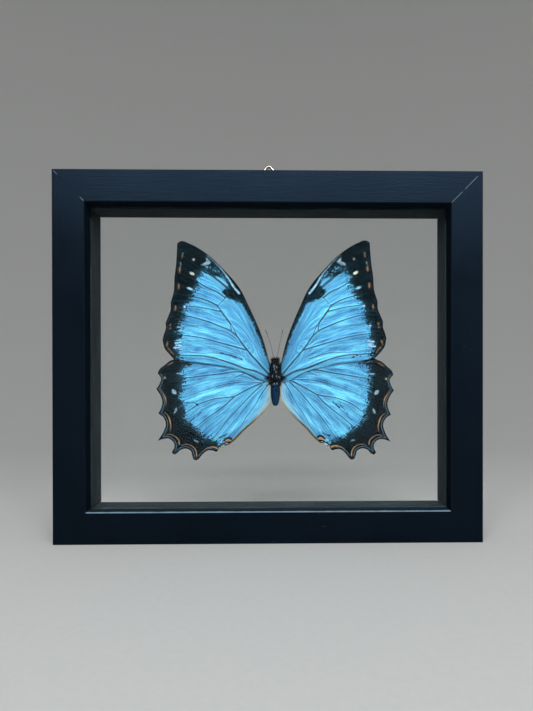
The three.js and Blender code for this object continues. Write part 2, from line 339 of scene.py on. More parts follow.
def stand_up(side):
    """Turns a level rail into the left (-1) or right (1) stile."""
    def place(points):
        x, y, z = points.T
        return np.column_stack([side * (FRAME_WIDTH / 2 - z), y, FRAME_HEIGHT / 2 + side * x])
    return place


rail("rail_bottom", FRAME_WIDTH, lambda points: points, paint_level)
rail("rail_top", FRAME_WIDTH, lambda points: points * (-1, 1, -1) + (0, 0, FRAME_HEIGHT), paint_level)
rail("rail_left", FRAME_HEIGHT, stand_up(-1), paint_upright)
rail("rail_right", FRAME_HEIGHT, stand_up(1), paint_upright)

# ---------- camera, floor and light ----------
# A camera a forearm's length in front of the frame and just below its middle, level and square on.
# The frame stands on pale card that curves up all round it, under one wide cool light from above and
# in front, and a weaker one from the right.

LENS_MM = 27.04
CAMERA_PLACE = (0.00517, -0.2495, 0.0677)
CAMERA_TURN = (math.radians(90 - 0.199), math.radians(0.082), math.radians(-0.986))

camera = bpy.data.objects.new("camera", bpy.data.cameras.new("camera"))
camera.data.lens = LENS_MM
camera.data.sensor_width = 36.0
camera.data.shift_x = -0.0331
camera.data.shift_y = 0.0513
camera.data.clip_start = 0.01
camera.location = CAMERA_PLACE
camera.rotation_euler = CAMERA_TURN
bpy.context.scene.collection.objects.link(camera)
bpy.context.scene.camera = camera
bpy.context.scene.view_settings.view_transform = "Standard"

FLOOR_RADIUS = 420.0
SWEEP_RADIUS = 1150.0
SWEEP_TOP = 2600.0
SWEEP_STEPS = 40
SWEEP_SIDES = 96

card = Finish("pale_card")
fibre = card.noise(420.0, detail=3.0)
card_grey = card.mix(fibre.ramp(0.2, 0.8), (0.570, 0.555, 0.530), (0.590, 0.575, 0.550))
card.surface(card_grey, 0.9, height=fibre, depth=0.00003)
sweep = [(FLOOR_RADIUS * share, 0.0) for share in (0.001, 0.5)]
for step in range(SWEEP_STEPS + 1):
    turn = math.pi / 2 * step / SWEEP_STEPS
    sweep.append((FLOOR_RADIUS + SWEEP_RADIUS * math.sin(turn), SWEEP_RADIUS * (1 - math.cos(turn))))
sweep.append((FLOOR_RADIUS + SWEEP_RADIUS, SWEEP_TOP))


def around(sides):
    """Even turns once round, in radians."""
    return np.arange(sides) * 2 * np.pi / sides


def lathe(profile, sides):
    """Points and faces of a skin turned about the vertical from (radius, height) pairs."""
    points = [(radius * math.cos(turn), radius * math.sin(turn), up)
              for radius, up in profile for turn in around(sides)]
    return np.array(points), ring_faces(len(profile), sides)


# The sweep is seen from within and is open at the top.
sweep_points, sweep_faces = lathe(sweep, SWEEP_SIDES)
del sweep_faces[1]
sweep_faces = [face[::-1] for face in sweep_faces]
add_mesh("floor_sweep", sweep_points, sweep_faces, card.material)


def soft_light(name, place, size, power, colour):
    lamp = bpy.data.lights.new(name, "AREA")
    lamp.shape = "RECTANGLE"
    lamp.size, lamp.size_y = size
    lamp.energy = power
    lamp.color = colour
    light = bpy.data.objects.new(name, lamp)
    light.location = place
    aim = Vector((0, 0, 0.08)) - Vector(place)
    light.rotation_euler = aim.to_track_quat("-Z", "Y").to_euler()
    bpy.context.scene.collection.objects.link(light)


soft_light("key_light", (0.0, -0.84, 0.70), (1.1, 0.40), 12.4, (0.93, 0.97, 1.0))
soft_light("fill_light", (0.75, -0.7, 0.5), (0.6, 0.6), 1.6, (0.95, 0.98, 1.0))

world = bpy.data.worlds.new("room")
world.use_nodes = True
room = world.node_tree.nodes["Background"]
room.inputs["Color"].default_value = (0.80, 0.90, 1.0, 1)
room.inputs["Strength"].default_value = 0.35
bpy.context.scene.world = world

# ---------- glass ----------
# Two panes of clear 2 mm picture glass. The front one lies against the lip of the frame, the back one
# behind the spacers, so the butterfly hangs between them.

clear = Finish("picture_glass")
clear.surface((0.975, 0.99, 0.985), 0.0, {"IOR": 1.14, "Transmission Weight": 1.0})
for pane in ("pane_front", "pane_back"):
    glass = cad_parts[pane]
    glass.data.materials.clear()
    glass.data.materials.append(clear.material)
    glass.visible_shadow = False

# ---------- wings ----------
# Four dried wings of a large blue morpho, set out flat. A wing is two skins on raised veins, pleated
# between them, with blue scales above that lie in rays, a ragged black border and a brown underside.
# Each is drawn for the left side as (distance out from the body, height above the thorax).

DRAWN_NARROW = 1.012
BUTTERFLY_X = 2.6
BUTTERFLY_Z = 75.3
FOREWING_Y = 1.2
HINDWING_Y = 2.1
WING_ROOT_Y = 2.3
WING_THICKNESS = 0.14
WING_GRAIN = 0.36
VEIN_RISE = 0.13
VEIN_WIDTH = 0.32
PLEAT = 0.13
PLEAT_START = 9.0
FAN_SOFTNESS = 0.8
WING_ARCH = 0.35
WING_LENGTH = 75.0
ROOT_BLEND = 7.0
RIM_CURL = 0.25
RIM_CURL_WIDTH = 1.6
FAR = 9.0
MARGIN_FAR = 20.0

# The outline comes in runs, and the outer ones carry the margin's pale line where they arch. A vein is
# (number in the fan from the leading edge, boldness, points); a loose one has no number. Painted fold
# light or shade is (strength, half-width, points), and a ringed spot of the underside is (out, up, radius).
# A mark is a stroke (half-width at its start, half-width at its end, points) or a blot (out, up,
# half-length, half-width, tilt in degrees).
FOREWING = {
    "outline": [
        [(2.4, 4.2), (5.5, 15.7), (12, 31.3), (16.4, 40), (23.4, 48.4), (32.7, 57), (39.7, 61), (43.4, 62.1),
         (45.2, 61.1)],
        [(45.2, 61.1), (45.5, 54.6), (45.9, 49.5), (46.5, 44.6), (46.8, 38.4), (48.2, 33.6)],
        [(48.2, 33.6), (48.3, 29.9), (49.1, 27.6), (50.6, 23.8)],
        [(50.6, 23.8), (50.5, 21.3), (51.4, 18.4), (52, 15.9)],
        [(52, 15.9), (51, 11.9), (49.4, 9.8), (46.8, 6.9)],
        [(46.8, 6.9), (38.9, 5.4), (32.8, 4.8), (23.5, 3.3), (17.4, 1.9), (11.8, -0.2), (7.6, -2.6),
         (3.2, -4)],
        [(3.2, -4), (2.4, 4.2)],
    ],
    "outer_runs": (1, 2, 3, 4),
    "arc_runs": (),
    "blue": [
        (33.8, 48.1), (35.2, 45.3), (35.6, 41.6), (37, 39.2), (38.4, 36.4), (39.8, 34.1), (41.2, 32.2),
        (42.2, 29), (42.6, 26.2), (44, 22.9), (44.5, 20.1), (44.5, 16.8), (45, 14.5), (44.7, 11.2),
        (44.3, 7.9), (44, 1), (20, -4), (2, -9), (0, 0), (3.9, 8.4), (6.2, 14.9), (8.3, 20.5),
        (10.6, 25.2), (13.2, 29.9), (15.1, 33.4), (18.4, 34.6), (22.6, 36.7), (23.9, 38.8), (21.5, 39.5),
        (21.4, 41.4), (22.9, 44.5), (25, 45.4), (27.6, 45.7), (30.4, 46.9), (32.8, 48.2),
    ],
    "haze": [(1.4, 1.0, [(22.5, 44.2), (25.5, 46.6), (28.5, 48.4), (31.5, 49.6)])],
    "veins": [
        (0.0, 0.0, [(2.4, 4.2), (5.5, 15.7), (12, 31.3), (23.4, 48.4), (39.7, 61), (45.2, 61.1)]),
        (0.8, 0.0, [(20, 42.5), (23, 47.2), (29.6, 53.2), (38, 58)]),
        (1.0, 1.5, [(20.4, 38), (22.1, 40), (24, 41.8), (27, 44.2), (30, 46.5), (33.4, 48.2), (44.5, 56)]),
        (2.0, 0.9, [(23, 35.5), (26.8, 38.3), (30.5, 39.9), (36.6, 43.4), (46, 47.5)]),
        (3.0, 0.9, [(26.5, 31.8), (30.5, 33.9), (35.2, 35.5), (38.9, 36.2), (47.5, 37)]),
        (4.0, 0.8, [(24.6, 28.9), (28.6, 29.9), (32.8, 30.8), (40.8, 31.8), (48.2, 33.4)]),
        (5.0, 1.1, [(3, -0.3), (8.1, 5.6), (11.8, 9.8), (15.1, 14), (17.4, 17.3), (20.2, 19.8), (25.8, 22.4),
                    (32.8, 25), (42.6, 27.1), (49.6, 26)]),
        (6.0, 0.9, [(13.2, 11.2), (18.8, 12.8), (25.8, 14.7), (32.8, 16.6), (43.6, 18.2), (51.3, 18.6)]),
        (6.6, 0.6, [(15.6, 7), (18.4, 7.9), (24.9, 9.6), (35.2, 9.8), (44, 11)]),
        (7.0, 1.2, [(3.4, -1.6), (9.5, 1.4), (14.2, 2.6), (20.2, 4.9), (24.9, 6.5), (28.2, 7.5), (46, 9)]),
        (8.0, 0.0, [(3.2, -4), (11.8, -0.2), (23.5, 3.3), (38.9, 5.4), (46.8, 6.9)]),
    ],
    "loose_veins": [
        (0.7, [(20.2, 19.8), (20.7, 22.9), (24, 27.6), (26.5, 31.8)]),
        (0.6, [(17.4, 17.3), (19.8, 22.4), (23, 27.1), (25.8, 30.8)]),
        (0.6, [(26.5, 31.8), (23, 35.5), (20.4, 38)]),
        (0.6, [(35.2, 22.4), (41.7, 22.4)]),
    ],
    # Painted light (positive strength) and painted shade (negative strength) along the folds.
    "fold_light_and_shade": [
        (1.0, 0.9, [(6.2, 1.4), (16.5, 5.3), (28.2, 8.6), (39.8, 10.4)]),
        (0.7, 0.7, [(18.8, 10.3), (28.2, 12.6), (38, 14)]),
        (0.6, 0.6, [(30, 19.2), (36, 19.6), (43, 20)]),
        (0.5, 1.2, [(24, 18), (34, 20.8), (41, 21.6)]),
        (0.35, 1.6, [(20, 22), (25, 33), (28, 36)]),
        (-0.8, 1.5, [(6.2, 11.2), (9.5, 18.2), (12.4, 25.5)]),
        (-0.5, 1.3, [(31, 35.5), (37, 37.5)]),
        (-0.45, 1.4, [(34, 29), (41, 29.4)]),
        (-0.4, 1.0, [(28, 24.2), (40, 24.6)]),
        (-0.45, 0.9, [(17, 9), (30, 11.3), (41, 12.6)]),
    ],
    "pale": [
        (0.42, 0.42, [(16.6, 37.7), (18.3, 39.6), (20.2, 42.3)]),
        (0.36, 0.16, [(20.2, 42.3), (21.6, 44.6), (23.6, 47.4)]),
        (0.16, 0.05, [(23.6, 47.4), (26.2, 50.4), (28.8, 53), (31.6, 55.6)]),
        (39.3, 39.8, 1.4, 0.5, 22), (41.7, 31.3, 0.6, 0.55, 0), (44.4, 21.9, 0.7, 0.25, 0),
        (0.36, 0.3, [(46, 14.5), (43.2, 14.8)]), (0.34, 0.28, [(45.6, 13.4), (43.3, 13.3)]),
        (0.42, 0.3, [(46.5, 12.2), (44, 12.4)]),
    ],
    "cream": [(37.6, 53.4, 0.45, 0.38, 20), (38.3, 46.9, 1.1, 0.6, 28)],
    "rust": [
        (42.8, 54.8, 0.35, 0.7, 20), (43.9, 48.7, 0.45, 1.4, 5), (44.5, 40.9, 0.4, 1.4, 0),
        (46, 30.8, 0.45, 1.1, 5), (48.4, 22.9, 0.35, 0.6, 0), (48.5, 21.2, 0.5, 0.3, 0),
        (49.8, 14.2, 0.4, 1.1, 10), (0.22, 0.2, [(49.3, 11.9), (47.8, 10.3), (47, 9.2)]),
    ],
    "dim": [
        (42.6, 56.2, 0.3, 0.3, 0), (43.6, 51.4, 0.25, 0.5, 0),
        (31.8, 51.5, 2.0, 0.75, -18), (0.75, 0.35, [(30.6, 52.3), (31.5, 53.8)]),
    ],
    "eyes": [(33.5, 39, 2.6), (36.5, 27.5, 2.2), (38.5, 16, 3.4)],
}

HINDWING = {
    "outline": [
        [(3, 1.6), (12, 6.2), (24, 9.4), (36, 10.4), (43, 9), (46.8, 7)],
        [(46.8, 7), (48.6, 6.3), (51.5, 4.1), (53.7, 2.2), (54.5, 0.4)],
        [(54.5, 0.4), (52.9, -2.3), (53.5, -4.4), (55.1, -7)],
        [(55.1, -7), (53.3, -9.9), (52.4, -13.2), (53, -16.2), (54.2, -18.5)],
        [(54.2, -18.5), (52, -20.2), (50.8, -23.3), (51.6, -26.4), (54.5, -31.3)],
        [(54.5, -31.3), (52, -30.4), (49.2, -30.4), (47.1, -32.4), (46.9, -34.3), (48.1, -36.6)],
        [(48.1, -36.6), (47.2, -37.7), (45.8, -37.3)],
        [(45.8, -37.3), (43.6, -35.4), (41.2, -35.1), (39.2, -36.2), (38.6, -38.3), (38.1, -40)],
        [(38.1, -40), (36.7, -40.5), (35.4, -39.7)],
        [(35.4, -39.7), (33.2, -37.1), (31, -35.8), (28.8, -36)],
        [(28.8, -36), (27.3, -36.5), (26.5, -35.4), (26, -34.2)],
        [(26, -34.2), (25.3, -34.6), (23.8, -33.9), (21.5, -33.1)],
        [(21.5, -33.1), (18.9, -31.1), (14.8, -26.8), (9.5, -22.1), (4.9, -17), (2.6, -13.6), (1.8, -9.3),
         (1.9, -7), (2.6, -4.2)],
        [(2.6, -4.2), (3, 1.6)],
    ],
    "outer_runs": (1, 2, 3, 4, 5, 6, 7, 8, 9, 10),
    "arc_runs": (2, 3, 4, 5, 7, 9),
    "inner_run": 12,
    "blue": [
        (39.4, 5.2), (41.7, 4), (43.1, 1.9), (43.6, -2.8), (43.3, -7.5), (43.6, -12.1), (42.6, -16.8),
        (42.6, -19.6), (39.8, -23.4), (36.6, -26.2), (33.3, -29.4), (29.6, -31.3), (26.3, -32.4),
        (25.2, -34.5), (24.5, -38), (10, -30), (-4, -18), (-4, 0), (2, 8), (20, 16), (34, 16), (38.6, 7.5),
    ],
    "veins": [
        (0.0, 0.0, [(3, 1.6), (12, 6.2), (24, 9.4), (36, 10.4), (46.8, 7)]),
        (0.6, 0.4, [(6, 0), (16, 4.5), (30, 5), (42, 3), (54, 0.4)]),
        (1.0, 0.95, [(5, -3.2), (7.1, -2.8), (15.6, 0.9), (25.8, 0), (37.5, -1.4), (43.6, -2.3),
                     (54.6, -6.6)]),
        (1.5, 0.5, [(6.2, -4.2), (14.2, -3.7), (23.5, -4.9), (32.8, -7.5), (42.6, -10.7), (52.6, -12.5)]),
        (2.0, 0.85, [(4.8, -3.7), (9.5, -5.6), (14.2, -7.9), (18.8, -10.3), (28.2, -11.7), (35.2, -14),
                    (42.6, -18.4), (53.8, -18.6)]),
        (3.0, 0.72, [(20.4, -11.9), (22.1, -13.5), (26.8, -17.3), (31.4, -20.5), (37, -24.8), (53, -30.6)]),
        (3.5, 0.3, [(16, -10.3), (24, -19), (32.5, -26.2), (47, -36)]),
        (4.0, 0.72, [(6.2, -5.1), (11.8, -10.3), (16.5, -15.4), (21.2, -20.5), (28.2, -29.4), (37, -39.5)]),
        (5.0, 0.65, [(3.4, -5.1), (6.2, -8.9), (8.5, -13.1), (13.7, -20.5), (16.5, -25.2), (23, -33)]),
        (6.0, 0.0, [(2.2, -8), (4.9, -17), (9.5, -22.1), (18.9, -31.1)]),
    ],
    "loose_veins": [(0.6, [(18.8, -1.6), (13.5, 0.6)]), (0.9, [(18.8, -10.3), (20.4, -11.9)])],
    # Painted light (positive strength) and painted shade (negative strength) along the folds.
    "fold_light_and_shade": [
        (1.0, 1.5, [(12, -5.8), (20, -7), (28, -8.2), (36, -10.6), (42, -12.3)]),
        (0.8, 1.1, [(16, -2), (28.2, -3.4), (41, -6.8)]),
        (0.6, 0.8, [(16.5, 2.8), (28.2, 2.8), (38, 1.6)]),
        (0.7, 1.1, [(23.5, -12.4), (28.5, -15.6), (34, -19.6), (38.5, -23.3)]),
        (0.9, 1.5, [(7, -11.5), (12, -18), (18, -24), (23.5, -29)]),
        (0.4, 1.2, [(21, -17), (30, -26)]),
        (-0.95, 1.0, [(7, -3.6), (18.8, -4), (28.2, -5.9), (40, -9.6)]),
        (-0.6, 1.2, [(8.1, -8.8), (18.8, -18.4), (28.2, -27.4)]),
        (-0.55, 0.8, [(20, 1), (32, 0.4), (41, -0.6)]),
        (-0.4, 1.4, [(30, -13.5), (41, -16)]),
        (-0.5, 0.9, [(10.5, -12.6), (15, -18.5), (20, -23.5)]),
    ],
    "pale": [
        (44.6, 0.3, 1.0, 0.3, 0), (26.2, -33, 0.5, 0.35, 30),
        (0.25, 0.15, [(25.4, -32.2), (24.6, -30.8)]), (0.2, 0.1, [(21.6, -27.4), (20.4, -26)]),
    ],
    "dim": [
        (46.9, -8.3, 1.3, 0.8, 50), (46.1, -17.1, 1.25, 0.5, -67), (36.7, -31.4, 1.0, 0.36, 24),
        (0.16, 0.1, [(44.2, 6.2), (41.4, 5.6)]),
    ],
    "cream": [(22.5, -32.65, 0.55, 0.26, 10), (0.32, 0.24, [(25, -34.15), (23.8, -33.35)])],
    "amber": [
        (0.14, 0.3, [(53.2, -6.8), (51.9, -9), (50.9, -11.2)]),
        (0.3, 0.14, [(50.9, -11.2), (50.6, -13.2), (50.8, -15)]),
        (0.14, 0.34, [(51.5, -17.8), (49.6, -19.6), (48.8, -21.8)]),
        (0.34, 0.14, [(48.8, -21.8), (48.4, -24.5), (48.8, -26.8)]),
        (0.16, 0.28, [(50.8, -28.6), (48.6, -28.2), (46.4, -29.2), (44.8, -31), (44.5, -33)]),
        (0.14, 0.32, [(43.6, -33.6), (41.8, -33), (39.4, -33.4), (37.4, -35), (36.6, -37), (36.6, -38.6)]),
        (0.14, 0.36, [(33.6, -36.2), (32, -34.9), (30, -34.3), (28.2, -34.3), (27, -35)]),
        (51.1, -1.7, 0.45, 0.6, 0), (0.22, 0.16, [(49.4, 4.4), (48.2, 5), (47, 5.6)]),
    ],
    "rust": [(22.1, -31.2, 1.6, 0.46, -17)],
    "ink": [
        (0.4, 0.5, [(23.7, -31.2), (22.8, -30.3), (21.6, -29.9), (20.4, -30.4)]),
        (22.4, -32.5, 1.6, 0.8, -10), (0.3, 0.2, [(26, -29.7), (24, -29), (22.2, -27.9)]),
        (0.34, 0.3, [(25.8, -33.7), (24.6, -32.9), (23.4, -32.6)]),
        (1.3, 0.4, [(0, -1.7), (4.5, -2.1)]), (0.35, 0.3, [(4.5, -2.1), (8, -1.7)]),
        (0.7, 0.15, [(1.5, -3.6), (4.4, -5.6)]),
    ],
    "eyes": [(30, 3, 2.4), (36, -8, 3.0), (33.5, -18, 3.2), (27.5, -25, 2.8)],
}
LEFT_FOREWING_INK = [
    (0.16, 0.24, [(24.9, 9.6), (21, 9), (18.4, 7.9)]), (18.4, 7.9, 0.6, 0.45, 0),
    (15.7, 6.9, 0.6, 0.4, 15), (24.4, 9.7, 0.9, 0.36, 10),
]
RIGHT_FOREWING_INK = [(36.3, 7.4, 0.7, 0.35, 30), (38, 8, 0.5, 0.3, 0), (39.7, 7.7, 0.45, 0.26, 0)]
LEFT_HINDWING_INK = [
    (36.2, -14.4, 0.58, 0.5, 0), (0.14, 0.1, [(36.1, -14.5), (38.2, -16.3)]), (23.6, 3.4, 0.4, 0.25, 0),
    (0.16, 0.1, [(36.3, -14.2), (37.8, -13.3), (40, -13.3), (43.8, -13.3)]),
    (0.24, 0.1, [(40.4, -23), (37, -20), (34.8, -18), (33.9, -16.3)]),
]
RIGHT_HINDWING_INK = [
    (0.22, 0.3, [(26.7, -13.6), (28, -14.8), (29.9, -16.2)]), (0.14, 0.1, [(29.9, -16.2), (36, -22)]),
    (30.6, -15.2, 0.5, 0.3, -40), (0.12, 0.1, [(29.6, -13.4), (31, -15.8), (35, -20)]),
]

MARKS = ("pale", "dim", "haze", "amber", "cream", "rust", "ink")

# How each wing sits against its drawing: side, turn in degrees counter-clockwise, then out, up and depth.
# The last list is of ink marks that only that wing has.
WINGS = {
    "forewing_left": (FOREWING, -1, 0.0, 0.0, 0.0, FOREWING_Y, LEFT_FOREWING_INK),
    "forewing_right": (FOREWING, 1, 1.2, 0.0, -0.3, FOREWING_Y, RIGHT_FOREWING_INK),
    "hindwing_left": (HINDWING, -1, 0.0, 0.0, 0.0, HINDWING_Y, LEFT_HINDWING_INK),
    "hindwing_right": (HINDWING, 1, -2.6, 0.6, 1.7, HINDWING_Y, RIGHT_HINDWING_INK),
}


def curve_through(points, spacing):
    """Points at an even spacing on a smooth curve through the given ones."""
    points = np.array(points, float)
    knots = np.concatenate([[0], np.cumsum(np.linalg.norm(np.diff(points, axis=0), axis=1))])
    slopes = np.gradient(points, knots, axis=0)
    where = np.linspace(0, knots[-1], max(3, round(knots[-1] / spacing) + 1))
    i = np.clip(np.searchsorted(knots, where, side="right") - 1, 0, len(points) - 2)
    width = (knots[i + 1] - knots[i])[:, None]
    t = (where - knots[i])[:, None] / width
    start = (1 + 2 * t) * (1 - t) ** 2 * points[i] + t * (1 - t) ** 2 * width * slopes[i]
    return start + t * t * (3 - 2 * t) * points[i + 1] + t * t * (t - 1) * width * slopes[i + 1]


def to_path(points, path):
    """Each point's distance to a path, and the share of the path's length at the nearest place."""
    path = np.array(path, float)
    starts, steps = path[:-1], np.diff(path, axis=0)
    gap = np.full(len(points), np.inf)
    share = np.zeros(len(points))
    for i, (start, step) in enumerate(zip(starts, steps)):
        t = np.clip((points - start) @ step / max(step @ step, 1e-12), 0, 1)
        here = np.linalg.norm(points - start - t[:, None] * step, axis=1)
        nearer = here < gap
        gap[nearer] = here[nearer]
        share[nearer] = (i + t[nearer]) / len(steps)
    return gap, share


def inside(points, loop):
    """Whether each point is within a closed outline."""
    crossings = np.zeros(len(points), int)
    x, y = points.T
    for (x0, y0), (x1, y1) in zip(loop, np.roll(loop, -1, axis=0)):
        spans = (y0 > y) != (y1 > y)
        rise = y1 - y0 if y1 != y0 else 1e-12
        crossings += spans & (x < x0 + (y - y0) * (x1 - x0) / rise)
    return crossings % 2 == 1


def mark_distance(points, marks):
    """Signed distance to the nearest stroke or blot, negative inside it."""
    nearest = np.full(len(points), FAR)
    for mark in marks:
        if isinstance(mark[-1], list):
            gap, share = to_path(points, curve_through(mark[2], 0.6))
            gap -= mark[0] + (mark[1] - mark[0]) * share
        else:
            out, up, half_length, half_width, tilt = mark
            turn = math.radians(tilt)
            x, y = (points - (out, up)).T
            along = (x * math.cos(turn) + y * math.sin(turn)) / half_length
            across = (y * math.cos(turn) - x * math.sin(turn)) / half_width
            gap = (np.hypot(along, across) - 1) * min(half_length, half_width)
        nearest = np.minimum(nearest, gap)
    return nearest


def wing_sheet(drawing):
    """A fine triangle net inside the wing's outline, with points along the outline and every vein."""
    runs = [curve_through(run, WING_GRAIN) for run in drawing["outline"]]
    loop = np.concatenate([run[:-1] for run in runs])
    rim = [*loop, loop[0]]
    chains = []
    raised = [vein for vein in drawing["veins"] if vein[1]]
    for *_, line in raised + drawing["loose_veins"]:
        chain = curve_through(line, WING_GRAIN)
        chains.append(chain[inside(chain, loop) & (to_path(chain, rim)[0] > 0.5 * WING_GRAIN)])
    low, high = loop.min(axis=0), loop.max(axis=0)
    rows = np.arange(low[1], high[1], WING_GRAIN * math.sqrt(3) / 2)
    columns = np.arange(low[0], high[0], WING_GRAIN)
    net = np.array([(x + (row % 2) * WING_GRAIN / 2, y) for row, y in enumerate(rows) for x in columns])
    net = net[inside(net, loop)]
    clear_of_lines = to_path(net, rim)[0] > 0.55 * WING_GRAIN
    for chain in chains:
        clear_of_lines &= to_path(net, chain)[0] > 0.5 * WING_GRAIN
    points = [loop]
    edges = [(i, (i + 1) % len(loop)) for i in range(len(loop))]
    first = len(loop)
    for chain in chains:
        edges += [(first + i, first + i + 1) for i in range(len(chain) - 1)]
        points.append(chain)
        first += len(chain)
    points.append(net[clear_of_lines])
    flat = [Vector(point) for point in np.concatenate(points)]
    points, edges, faces, *_ = geometry.delaunay_2d_cdt(flat, edges, [], 1, 1e-5)
    return np.array(points), [list(face) for face in faces], runs, rim


def wing_fields(drawing, points, runs, rim, own_ink):
    """What the finish needs to know at each point of a wing."""
    weights = labels = 0
    vein_gap = np.full(len(points), FAR)
    for number, boldness, line in drawing["veins"]:
        gap, share = to_path(points, curve_through(line, 1.0))
        weight = (gap ** 2 + FAN_SOFTNESS ** 2) ** -1.25
        weights, labels = weights + weight, labels + weight * number
        if boldness:
            vein_gap = np.minimum(vein_gap, gap / (boldness * (1.25 - 0.6 * share)))
    for boldness, line in drawing["loose_veins"]:
        vein_gap = np.minimum(vein_gap, to_path(points, curve_through(line, 1.0))[0] / boldness)
    margin = np.full(len(points), MARGIN_FAR)
    arc = np.zeros(len(points))
    for run in drawing["outer_runs"]:
        gap, share = to_path(points, runs[run])
        nearer = gap < margin
        margin[nearer] = gap[nearer]
        arc[nearer] = np.sin(np.pi * share[nearer]) if run in drawing["arc_runs"] else 0.0
    blue_edge = curve_through([*drawing["blue"], drawing["blue"][0]], 0.8)
    border = to_path(points, blue_edge)[0] * np.where(inside(points, blue_edge), -1, 1)
    # Painted light and shade along the folds: lighter where a pleat faces the light, darker where it faces
    # away.
    painted_fold_shading = np.zeros(len(points))
    for strength, half_width, line in drawing["fold_light_and_shade"]:
        gap, share = to_path(points, curve_through(line, 1.0))
        ends = np.clip(4 * share, 0, 1) * np.clip(4 * (1 - share), 0, 1)
        painted_fold_shading += strength * ends * np.exp(-((gap / half_width) ** 2))
    eye = np.full(len(points), FAR)
    for out, up, radius in drawing["eyes"]:
        eye = np.minimum(eye, np.linalg.norm(points - (out, up), axis=1) / radius)
    inner = np.full(len(points), FAR)
    if "inner_run" in drawing:
        inner = to_path(points, runs[drawing["inner_run"]])[0]
    marks = {name: drawing.get(name, []) for name in MARKS}
    marks["ink"] = marks["ink"] + own_ink
    return {
        "fan": labels / weights,
        "reach": np.linalg.norm(points - (0, -0.5), axis=1),
        "vein": vein_gap,
        "margin": margin,
        "rim": to_path(points, rim)[0],
        "arc": arc,
        "border": border,
        "painted_fold_shading": painted_fold_shading,
        "eye": eye,
        "inner": inner,
        **{name: mark_distance(points, shapes) for name, shapes in marks.items()},
    }


def wing_relief(fields, base_y):
    """How far back each point of the skin lies: pleats between the veins, and a rise to the wing root."""
    grown = fields["reach"] / (fields["reach"] + PLEAT_START)
    pleats = -PLEAT * grown * np.cos(2 * np.pi * fields["fan"])
    veins = -VEIN_RISE * np.exp(-((fields["vein"] / VEIN_WIDTH) ** 2))
    arch = WING_ARCH * np.sin(np.pi * np.clip(fields["reach"] / WING_LENGTH, 0, 1))
    root = np.exp(-((fields["reach"] / ROOT_BLEND) ** 2))
    curl = RIM_CURL * np.exp(-fields["rim"] / RIM_CURL_WIDTH)
    return base_y + (WING_ROOT_Y - base_y) * root + (pleats + veins - arch + curl) * (1 - root)


